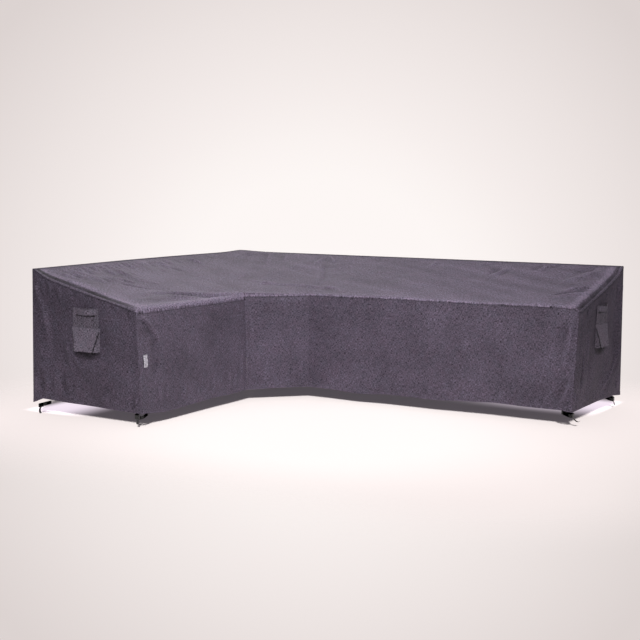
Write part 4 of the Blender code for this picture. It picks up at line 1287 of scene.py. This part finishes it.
def makeHandle(arm):
    fit, height, halfWidth = fittings[arm], handle["height"], handle["width"] / 2
    # closer steps towards its sewn ends
    turn = math.pi / 2 * 0.96
    share = np.sin(np.linspace(-turn, turn, 61)) / math.sin(turn)
    free = halfWidth - handle["sewn"]
    bow = np.clip(1 - (share * halfWidth / free) ** 2, 0, None)[:, None] ** 1.3
    down = np.array((0.0, 0.0012, 0.004, 0.008, 0.013, 0.017, 0.021, 0.026, 0.030, 0.0328, 0.034))
    side, level = np.meshgrid(share * halfWidth, down, indexing="ij")
    crown = handle["crown"] * np.cos((level / height - 0.5) * math.pi)
    off = face + handle["low"] + handle["stand"] * bow * (1 - 0.10 * level / height) + crown
    grid = endPoint(arm, onEnd(arm, side), fit["handleTop"] - level - handle["sag"] * bow, off)
    thickness = handle["thickness"] - handle["thinner"] * (2 * level / height - 1) ** 2
    name, uv = f"handle{arm.title()}", np.stack([side, level], axis=-1)
    piece = clothSheet(name, grid, sideOut[arm], thickness, uv, finishes["handle"])
    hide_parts(f"handle_{arm}")
    lifted = grid + gridNormals(grid, sideOut[arm]) * 0.0015
    lines = [lifted[1:-1, 2], lifted[1:-1, -3]]
    for near, far in ((lifted[1], lifted[5]), (lifted[55], lifted[-2])):
        # a sewn box with a cross at each end
        lines += [near[2:-2], far[2:-2], np.stack([near[2], far[-3]]), np.stack([near[-3], far[2]])]
    stitches = sewLines(name + "Stitches", lines)


def roundedPath(corners, cut, counts):
    # a path through corners given as (..., k, 2), each inner corner cut round
    corners = np.asarray(corners, float)
    steps = np.diff(corners, axis=-2)
    unit = steps / np.linalg.norm(steps, axis=-1, keepdims=True)
    points, last = [], corners.shape[-2] - 1
    for k in range(last):
        start = corners[..., k, :] + (unit[..., k, :] * cut if k else 0)
        end = corners[..., k + 1, :] - (unit[..., k, :] * cut if k < last - 1 else 0)
        points += [start + (end - start) * share for share in np.linspace(0, 1, counts[k] + 1)]
        if k < last - 1:
            corner = corners[..., k + 1, :]
            after = corner + unit[..., k + 1, :] * cut
            for t in (0.25, 0.5, 0.75):
                points.append((1 - t) ** 2 * end + 2 * t * (1 - t) * corner + t**2 * after)
    return np.stack(points, axis=-2)


def makeHood(arm):
    height, low = hood["height"], hood["low"]
    down = np.concatenate([(0, 0.001, 0.003, 0.0045, 0.006), np.linspace(0.010, height - 0.013, 24),
                           height - np.array((0.0115, 0.0095, 0.005, 0.0015, 0.0))])
    share = down / height
    base = hood["topWidth"] + (hood["baseWidth"] - hood["topWidth"]) * share
    lip = np.minimum(hood["topWidth"] + (hood["lipWidth"] - hood["topWidth"]) * share, base - 0.010)
    stand = hood["topStand"] + (hood["stand"] - hood["topStand"]) * share
    stand = low + (stand - 0.001 - low) * smooth(down, -0.001, 0.006)
    # across the hood: up one side wall, over the face, down the other
    foot = np.full_like(down, low)
    across = ((-base / 2, foot), (-lip / 2, stand), (lip / 2, stand), (base / 2, foot))
    corners = np.stack([np.stack(point, axis=-1) for point in across], axis=1)
    path = roundedPath(corners, hood["round"], hood["cells"])
    side, off = path[..., 0], path[..., 1]
    level, halfLip = np.repeat(down[:, None], side.shape[1], axis=1), lip[:, None] / 2
    sagging = share[:, None] * np.clip(1 - (np.abs(side) / halfLip) ** 2, 0, 1)
    wavy = gradientNoise(side / 0.045, level / 0.05, 51 + len(arm)) * smooth(level, 0.004, 0.03)
    off = face + off - hood["sag"] * sagging + hood["wave"] * wavy
    droop = hood["droop"] * sagging * np.cos(side / 0.03)
    top = fittings[arm]["handleTop"] - hood["drop"]
    z = np.maximum(top - level + droop, top - height)
    grid = endPoint(arm, onEnd(arm, side), z, off)
    hem = smooth(level, height - hood["hem"], height - hood["hem"] + 0.0015)
    # painted shade along the folds between face and walls, on the walls and at the lip
    wear = 0.4 * hem - 3.4 * bell(np.abs(side) - halfLip, 0.0036) * smooth(level, 0.012, 0.03)
    wear -= 2.4 * smooth(level, height - 0.006, height - 0.001) + 0.9 * (np.abs(side) > halfLip)
    name = f"ventHood{arm.title()}"
    uv = np.stack([runAlong(path.swapaxes(0, 1)).T, -level], axis=-1)
    thickness = hood["wall"] + hood["hemRise"] * hem
    piece = clothSheet(name, grid, sideOut[arm], thickness, uv, finishes["vent"], wear)
    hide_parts(f"vent_hood_{arm}")
    lifted = grid + gridNormals(grid, sideOut[arm]) * stitch["lift"]
    fold = hood["cells"][0] + 5
    lines = [lifted[3, 2:-2], lifted[-4, 1:-1], lifted[4:-1, fold], lifted[4:-1, -1 - fold]]
    stitches = sewLines(name + "Stitches", lines)


for arm in ("short", "long"):
    makePatch(arm)
    makeHandle(arm)
    makeHood(arm)
print("handles and vents done")


label = {
    "width": 0.034,
    "height": 0.072,
    "thickness": 0.0008,
    "offEnd": 0.030,  # from the short arm's end
    "top": -0.456,
    "stand": 0.0040,
}


def makeLabel():
    down = np.concatenate([(0, 0.03, 0.06), np.linspace(0.1, 0.9, 17), (0.94, 0.97, 1)])
    across, down = np.meshgrid(np.linspace(0, 1, 15), down, indexing="ij")
    y = cornerY - cover["shortArm"] + cover["shortEndTuck"] + label["offEnd"] + across * label["width"]
    z = label["top"] - down * label["height"]
    seam = seamHeight(np.array(0.0))
    out = cover["hemSpread"] * (seam - z) / (seam - hemZ)
    curl = 0.0005 * np.sin(across * 7) - 0.0016 * np.cos(down * 5.5) * (0.4 + 0.6 * across)
    x = cornerX + depth + out + face + label["thickness"] / 2 + label["stand"] + curl
    grid = np.stack([x, y, z], axis=-1)
    # thicker where its two ends are folded under
    thickness = label["thickness"] + 0.0005 * (1 - smooth(np.minimum(down, 1 - down), 0.05, 0.09))
    uv = np.stack([across * label["width"], z], axis=-1)
    piece = clothSheet("bareLabel", grid, (1, 0, 0), thickness, uv, finishes["label"])
    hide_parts("label")
    lifted = grid + (stitch["lift"], 0, 0)
    stitches = sewLines("labelStitches", [lifted[1:-1, 2], lifted[1:-1, -3]])


makeLabel()
print("label done")


strap = {
    "width": 0.020,
    "thickness": 0.0014,
    "half": 0.031,  # half the loop's width
    "round": 0.013,
    "inset": 0.036,  # from the hem's corner to the loop's middle, each way
    "tuck": 0.006,  # how far it reaches up behind the hem
    "droop": 0.020,  # how much lower it hangs on the buckle's side
    "wave": 0.0006,
    "buckleLength": 0.034,
    "buckleHeight": 0.024,
    "inBuckle": 0.004,
    "tailWidth": 0.016,
    "tailThickness": 0.0013,
}
# Loose ends, each as (out from the loop, along it, down) from the buckle's foot
longTail = ((0.004, 0.0, 0.001), (0.010, 0.001, 0.012), (0.009, 0.003, 0.023), (0.003, 0.004, 0.034))
shortTail = ((0.003, 0.0, 0.001), (0.007, 0.001, 0.012), (0.008, 0.002, 0.024))
curledTail = (
    (0.004, 0.0, 0.001), (0.012, 0.002, 0.010), (0.022, 0.004, 0.018),
    (0.032, 0.005, 0.020), (0.040, 0.005, 0.014),
)


def turned(points, facing):
    (fx, fy), (x, y) = facing, np.moveaxis(points, -1, 0)
    return np.stack([x * fx - y * fy, x * fy + y * fx], axis=-1)


def webbingLoop():
    half, radius = strap["half"], strap["round"]
    end = strap["buckleLength"] / 2 - strap["inBuckle"]
    inner = half - radius
    points = [(half, -end), (half, -end - 0.004)]
    for sx, sy, first in ((1, -1, 0), (-1, -1, -90), (-1, 1, 180), (1, 1, 90)):
        for k in range(9):
            angle = math.radians(first - 90 * k / 8)
            points.append((sx * inner + radius * math.cos(angle), sy * inner + radius * math.sin(angle)))
    points += [(half, end + 0.004), (half, end)]
    line = np.array(points)
    run = runAlong(line)
    even = np.linspace(0, run[-1], 90)
    return np.stack([np.interp(even, run, line[:, k]) for k in (0, 1)], axis=1), even


def smoothLine(points, count):
    # a rounded line through a few points
    points = np.array(points, float)
    steps = runAlong(points) + 1e-9
    fit = [Polynomial.fit(steps, points[:, k], min(3, len(points) - 1)) for k in range(3)]
    even = np.linspace(0, steps[-1], count)
    return np.stack([line(even) for line in fit], axis=1), even


# Parts of the buckle, each (outline as (along, up), from, to), all in millimetres
buckleParts = (
    (((-17, -10.2), (-15.2, -12), (1.2, -12), (1.2, 12), (-15.2, 12), (-17, 10.2)), 2.4, 4.3),
    (((-17, -10.2), (-15.2, -12), (1.2, -12), (1.2, 12), (-15.2, 12), (-17, 10.2)), -4.3, -2.4),
    (((-16.6, 10.6), (-8.2, 10.6), (-8.2, 11.9), (-15.2, 11.9), (-16.6, 10.9)), -2.4, 2.4),
    (((-16.6, -10.6), (-16.6, -10.9), (-15.2, -11.9), (-8.2, -11.9), (-8.2, -10.6)), -2.4, 2.4),
    (((-11.0, -10.4), (-8.6, -10.4), (-8.6, 10.4), (-11.0, 10.4)), -2.4, 2.4),
    (((1.6, -12), (6.4, -12), (6.4, 12), (1.6, 12)), -3.7, 3.7),
    (((6.5, 10.5), (16.2, 10.5), (17, 11.2), (15.4, 12), (6.5, 12)), -2.6, 2.6),
    (((6.5, -12), (15.4, -12), (17, -11.2), (16.2, -10.5), (6.5, -10.5)), -2.6, 2.6),
    (((8.6, -10.4), (10.4, -10.4), (10.4, 10.4), (8.6, 10.4)), 1.3, 2.9),
    (((14.4, -10.4), (16.4, -10.4), (16.4, 10.4), (14.4, 10.4)), 1.3, 2.9),
    (((14.4, -10.4), (16.4, -10.4), (16.4, 10.4), (14.4, 10.4)), -2.9, -1.3),
    (((-7.6, 8.6), (-6.0, 11.2), (-3.4, 12.0), (-0.6, 11.6), (1.5, 10.0), (1.5, 7.4), (-4.5, 8.2)),
     -2.1, 2.1),
    (((-7.6, -8.6), (-4.5, -8.2), (1.5, -7.4), (1.5, -10.0), (-0.6, -11.6), (-3.4, -12.0), (-6.0, -11.2)),
     -2.1, 2.1),
    (((-6.5, -0.9), (1.5, -1.3), (1.5, 1.3), (-6.5, 0.9)), -2.1, 2.1),
)


def makeBuckle(name, onPlan, middleZ):
    bm = bmesh.new()
    for outline, low, high in buckleParts:
        rings = []
        for out in (low, high):
            plan = onPlan(np.array([(strap["half"] + out / 1000, along / 1000) for along, _ in outline]))
            rings.append([bm.verts.new((*p, middleZ + rise / 1000)) for p, (_, rise) in zip(plan, outline)])
            bm.faces.new(rings[-1])
        near, far = rings
        for k in range(len(outline)):
            bm.faces.new((near[k - 1], near[k], far[k], far[k - 1]))
    bmesh.ops.recalc_face_normals(bm, faces=bm.faces)
    bmesh.ops.bevel(bm, geom=bm.edges[:], offset=0.00045, segments=2, affect="EDGES", clamp_overlap=True)
    mesh = bpy.data.meshes.new(name)
    bm.to_mesh(mesh)
    bm.free()
    mesh.polygons.foreach_set("use_smooth", np.ones(len(mesh.polygons), bool))
    mesh.set_sharp_from_angle(angle=math.radians(40))
    mesh.materials.append(finishes["buckle"])
    return newPiece(name, mesh)


def makeStrap(place, hemCorner, cornerHemZ, inward, facing, tail):
    name = "".join(word.title() for word in place.split("_"))
    middle = np.array(hemCorner) + strap["inset"] * np.array(inward)
    top = cornerHemZ + strap["tuck"]

    def onPlan(points):
        return turned(points, facing) + middle

    # the loop, lower on the buckle's side
    loop, run = webbingLoop()
    down = np.array((0.0, 0.0010, 0.0030, 0.0065, 0.0100, 0.0135, 0.0170, 0.0190, 0.0200))
    crest = top - strap["droop"] * (loop[:, 0] + strap["half"]) / (2 * strap["half"])
    grid = np.stack([np.column_stack([onPlan(loop), crest - one]) for one in down], axis=1)
    outwards = np.column_stack([turned(loop, facing), 0 * run])
    normals = gridNormals(grid, (0, 0, 1))
    normals *= np.sign((normals * outwards[:, None]).sum())
    wave = strap["wave"] * gradientNoise(run[:, None] / 0.03, down[None] / 0.02, 71 + len(name))
    grid = grid + normals * (wave * smooth(np.minimum(run, run[-1] - run), 0.006, 0.02)[:, None])[..., None]
    uv = np.stack(np.broadcast_arrays(run[:, None], down), axis=-1)
    band = clothSheet(f"strap{name}", grid, normals[0, 0], strap["thickness"], uv, finishes["webbing"])
    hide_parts(f"strap_{place}")

    buckleZ = top - strap["droop"] - strap["width"] / 2
    buckle = makeBuckle(f"buckle{name}", onPlan, buckleZ)
    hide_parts(f"buckle_{place}")

    # its loose end, from the buckle's foot
    foot = buckleZ - strap["buckleHeight"] / 2 - cover["gap"] - strap["thickness"] / 2
    line, run = smoothLine(tail, 24)
    across = np.array((-1.0, -0.9, -0.625, -0.25, 0.25, 0.625, 0.9, 1.0)) * strap["tailWidth"] / 2
    grid = np.stack([
        np.column_stack([onPlan(line[:, :2] + (strap["half"], one)), foot - line[:, 2]]) for one in across
    ], axis=1)
    uv = np.stack(np.broadcast_arrays(run[:, None], across), axis=-1)
    loose = clothSheet(f"strapEnd{name}", grid, (*facing, 0.3), strap["tailThickness"], uv,
                       finishes["webbing"])
    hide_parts(f"strap_tail_{place}")


frontX, frontY = cornerX + depth + cover["hemSpread"], cornerY - depth - cover["hemSpread"]
endX = cornerX + cover["longArm"] - cover["longEndTuck"]
endY = cornerY - cover["shortArm"] + cover["shortEndTuck"]
for row in (
    ("short_back", (cornerX, endY), hemZ + endHem["short"][0][1], (1, 1), (-1, 0), longTail),
    ("short_front", (frontX, endY), hemZ + frontHem[0][1], (-1, 1), (0, -1), shortTail),
    ("long_front", (endX, frontY), hemZ + frontHem[-1][1], (-1, 1), (1, 0), curledTail),
    ("long_back", (endX, cornerY), hemZ + backHem[-1][1], (-1, -1), (1, 0), shortTail),
):
    makeStrap(*row)
print("straps done")


floorLook = {
    "size": 9.0,
    "z": -0.872,
    "middle": (1.45, -1.10, 0),  # of the cover's footprint
    "half": (1.45, 1.10, 10),
    # painted pool of light: the floor is paler near the point below and darker farther from it
    "under": (0.600, 0.565, 0.552, 1),
    "round": (0.520, 0.480, 0.468, 1),
    "paintedPool": (1.75, -1.70),
    "paintedPoolFade": (0.6, 1.7),
    "fade": (0.10, 1.30),  # from the footprint out into the backdrop
    # painted light: the floor glows this much everywhere, to lift its shade under the hems, and more where
    # light would come in under the back hems
    "glow": 0.078,
    "leak": 0.78,
    "glowColour": (1.0, 0.87, 1.0, 1),
}
# Where the floor glows more, as painted light that stands in for light coming in under the back hems: for
# each side, (axis, none from here, all from here)
paintedLeakZones = (
    ((0, 0.32, 0.02), (0, -0.22, -0.10), (1, -2.10, -2.00), (1, -1.20, -1.50)),
    ((1, -0.46, -0.05), (1, 0.28, 0.12), (0, 1.70, 2.50), (0, 2.86, 2.80)),
)


def addFloor():
    # pale under and round the cover, with a painted pool of light and a painted glow under its hems, fading
    # into the backdrop
    size, z = floorLook["size"], floorLook["z"]
    mesh = bpy.data.meshes.new("floor")
    corners = [(x * size, y * size, z) for x, y in ((-1, -1), (1, -1), (1, 1), (-1, 1))]
    mesh.from_pydata(corners, [], [(0, 1, 2, 3)])
    made, tree, shader, place = newMaterial("paleFloor")

    def vector(operation, a, b=(0, 0, 0)):
        return addNode(tree, "ShaderNodeVectorMath", {"operation": operation}, i0=a, i1=b).outputs

    def eased(value, low, high, rising=True):
        # 0 to 1 from low to high, or 1 to 0
        return addNode(tree, "ShaderNodeMapRange", {"interpolation_type": "SMOOTHSTEP"}, Value=value,
                       From_Min=low, From_Max=high, To_Min=float(not rising), To_Max=float(rising)).outputs[0]

    off = vector("ABSOLUTE", vector("SUBTRACT", place, floorLook["middle"])[0])[0]
    beside = vector("MAXIMUM", vector("SUBTRACT", off, floorLook["half"])[0])[0]
    left = eased(vector("LENGTH", beside)["Value"], *floorLook["fade"], False)
    tree.links.new(left, shader.inputs["Alpha"])
    away = eased(vector("DISTANCE", place, (*floorLook["paintedPool"], z))["Value"], *floorLook["paintedPoolFade"])
    colour = blendColours(tree, away, floorLook["under"], floorLook["round"])
    tree.links.new(colour, shader.inputs["Base Color"])
    shader.inputs["Roughness"].default_value = 1.0
    shader.inputs["Specular IOR Level"].default_value = 0.0
    parts = addNode(tree, "ShaderNodeSeparateXYZ", i0=place).outputs
    # painted light: an even glow, and more in the zones under the back hems
    strength = floorLook["glow"]
    for side in paintedLeakZones:
        leak = floorLook["leak"]
        for axis, none, full in side:
            step = eased(parts[axis], min(none, full), max(none, full), full > none)
            leak = maths(tree, "MULTIPLY", leak, step)
        strength = maths(tree, "ADD", strength, leak)
    shader.inputs["Emission Color"].default_value = floorLook["glowColour"]
    tree.links.new(strength, shader.inputs["Emission Strength"])
    mesh.materials.append(made)
    floor = newObject("floor", mesh)
    return floor


tint = (1.0, 0.985, 0.98)


def addLight(name, place, target, size, power):
    data = bpy.data.lights.new(name, "AREA")
    data.shape, data.size, data.size_y = "RECTANGLE", size[0], size[1]
    data.energy, data.color = power, tint
    light = newObject(name, data)
    light.location = place
    light.rotation_euler = (Vector(target) - Vector(place)).to_track_quat("-Z", "Y").to_euler()
    return light


view = {"place": (5.219, -7.542, 0.510), "yaw": -0.541, "pitch": 0.109, "roll": 0.006, "lens": 69.6}


def addCamera():
    yaw, pitch, roll = view["yaw"], view["pitch"], view["roll"]
    ahead = Vector((math.sin(yaw) * math.cos(pitch), math.cos(yaw) * math.cos(pitch), -math.sin(pitch)))
    level = Vector((math.cos(yaw), -math.sin(yaw), 0))
    upward = level.cross(ahead)
    right = level * math.cos(roll) + upward * math.sin(roll)
    upward = upward * math.cos(roll) - level * math.sin(roll)
    data = bpy.data.cameras.new("camera")
    data.lens, data.sensor_width = view["lens"], 36.0
    data.clip_end = 200
    camera = newObject("camera", data)
    turn = Matrix((right, upward, -ahead)).transposed()
    camera.matrix_world = Matrix.Translation(view["place"]) @ turn.to_4x4()
    bpy.context.scene.camera = camera


def addSun(name, energy, spread, aim):
    data = bpy.data.lights.new(name, "SUN")
    data.energy, data.angle, data.color = energy, math.radians(spread), tint
    sun = newObject(name, data)
    sun.rotation_euler = Vector(aim).to_track_quat("-Z", "Y").to_euler()
    return sun


def shareLights(floor, floorLights, otherLights):
    # the floor has its own light, and the cover's lights leave it alone
    for name, lights, state in (("litFloor", floorLights, "INCLUDE"), ("unlitFloor", otherLights, "EXCLUDE")):
        group = bpy.data.collections.new(name)
        group.objects.link(floor)
        for member in group.collection_objects:
            member.light_linking.link_state = state
        for light in lights:
            light.light_linking.receiver_collection = group


# Place, what it is aimed at, size and watts
lightPanels = {
    "overheadPanel": ((1.6, -1.6, 2.6), (1.4, -0.5, -0.3), (1.6, 1.2), 109),
    "backPanel": ((-1.0, 1.4, 2.4), (0.6, -0.8, 0.0), (1.6, 1.2), 55),
    "leftPanel": ((1.6, -4.6, 0.8), (0.4, -2.0, -0.4), (1.5, 1.0), 43),
    "rightPanel": ((6.2, -1.4, 0.6), (2.9, -0.4, -0.4), (1.6, 1.6), 26),
    "cornerPanel": ((2.6, -2.6, 1.2), (0.9, -0.9, -0.6), (1.2, 0.8), 14),
}
floorWash = {"energy": 8.9, "spread": 7, "aim": (-0.42, 0.70, -0.49)}
backdrop = {
    "brightest": (-0.512, 0.852, -0.109),  # the direction behind the cover
    # distance from that direction, colour
    "glow": (
        (0.00, (0.985, 0.935, 0.918)), (0.115, (0.980, 0.928, 0.910)), (0.145, (0.955, 0.898, 0.880)),
        (0.178, (0.915, 0.852, 0.836)), (0.243, (0.838, 0.773, 0.758)), (0.334, (0.716, 0.652, 0.638)),
        (0.60, (0.760, 0.700, 0.686)),
    ),
    "fill": (1.0, 0.96, 0.95, 1),
    "fillStrength": 0.22,
}


def addBackdrop():
    # the camera sees the glow, and an even fill lights the cover
    world = bpy.data.worlds.new("studio")
    world.use_nodes = True
    tree, glow = world.node_tree, backdrop["glow"]
    direction = addNode(tree, "ShaderNodeTexCoord").outputs["Generated"]
    away = addNode(tree, "ShaderNodeVectorMath", {"operation": "DISTANCE"}, i0=direction,
                   i1=backdrop["brightest"])
    ramp = addNode(tree, "ShaderNodeValToRGB", Fac=away.outputs["Value"])
    stops = ramp.color_ramp.elements
    stops[1].position = glow[-1][0]
    for place, _ in glow[1:-1]:
        stops.new(place)
    for stop, (_, shade) in zip(stops, glow):
        stop.color = (*shade, 1)
    shown = addNode(tree, "ShaderNodeBackground", Color=ramp.outputs["Color"], Strength=1.0)
    fill = tree.nodes["Background"]
    fill.inputs["Color"].default_value = backdrop["fill"]
    fill.inputs["Strength"].default_value = backdrop["fillStrength"]
    seen = addNode(tree, "ShaderNodeLightPath").outputs["Is Camera Ray"]
    both = addNode(tree, "ShaderNodeMixShader", Fac=seen, i1=fill.outputs[0], i2=shown.outputs[0])
    tree.links.new(both.outputs[0], tree.nodes["World Output"].inputs["Surface"])
    bpy.context.scene.world = world


floor = addFloor()
addCamera()
coverLights = [addLight(name, *row) for name, row in lightPanels.items()]
shareLights(floor, [addSun("floorWash", **floorWash)], coverLights)
addBackdrop()
bpy.context.scene.view_settings.view_transform = "Standard"
print("floor, camera, lights and backdrop done")
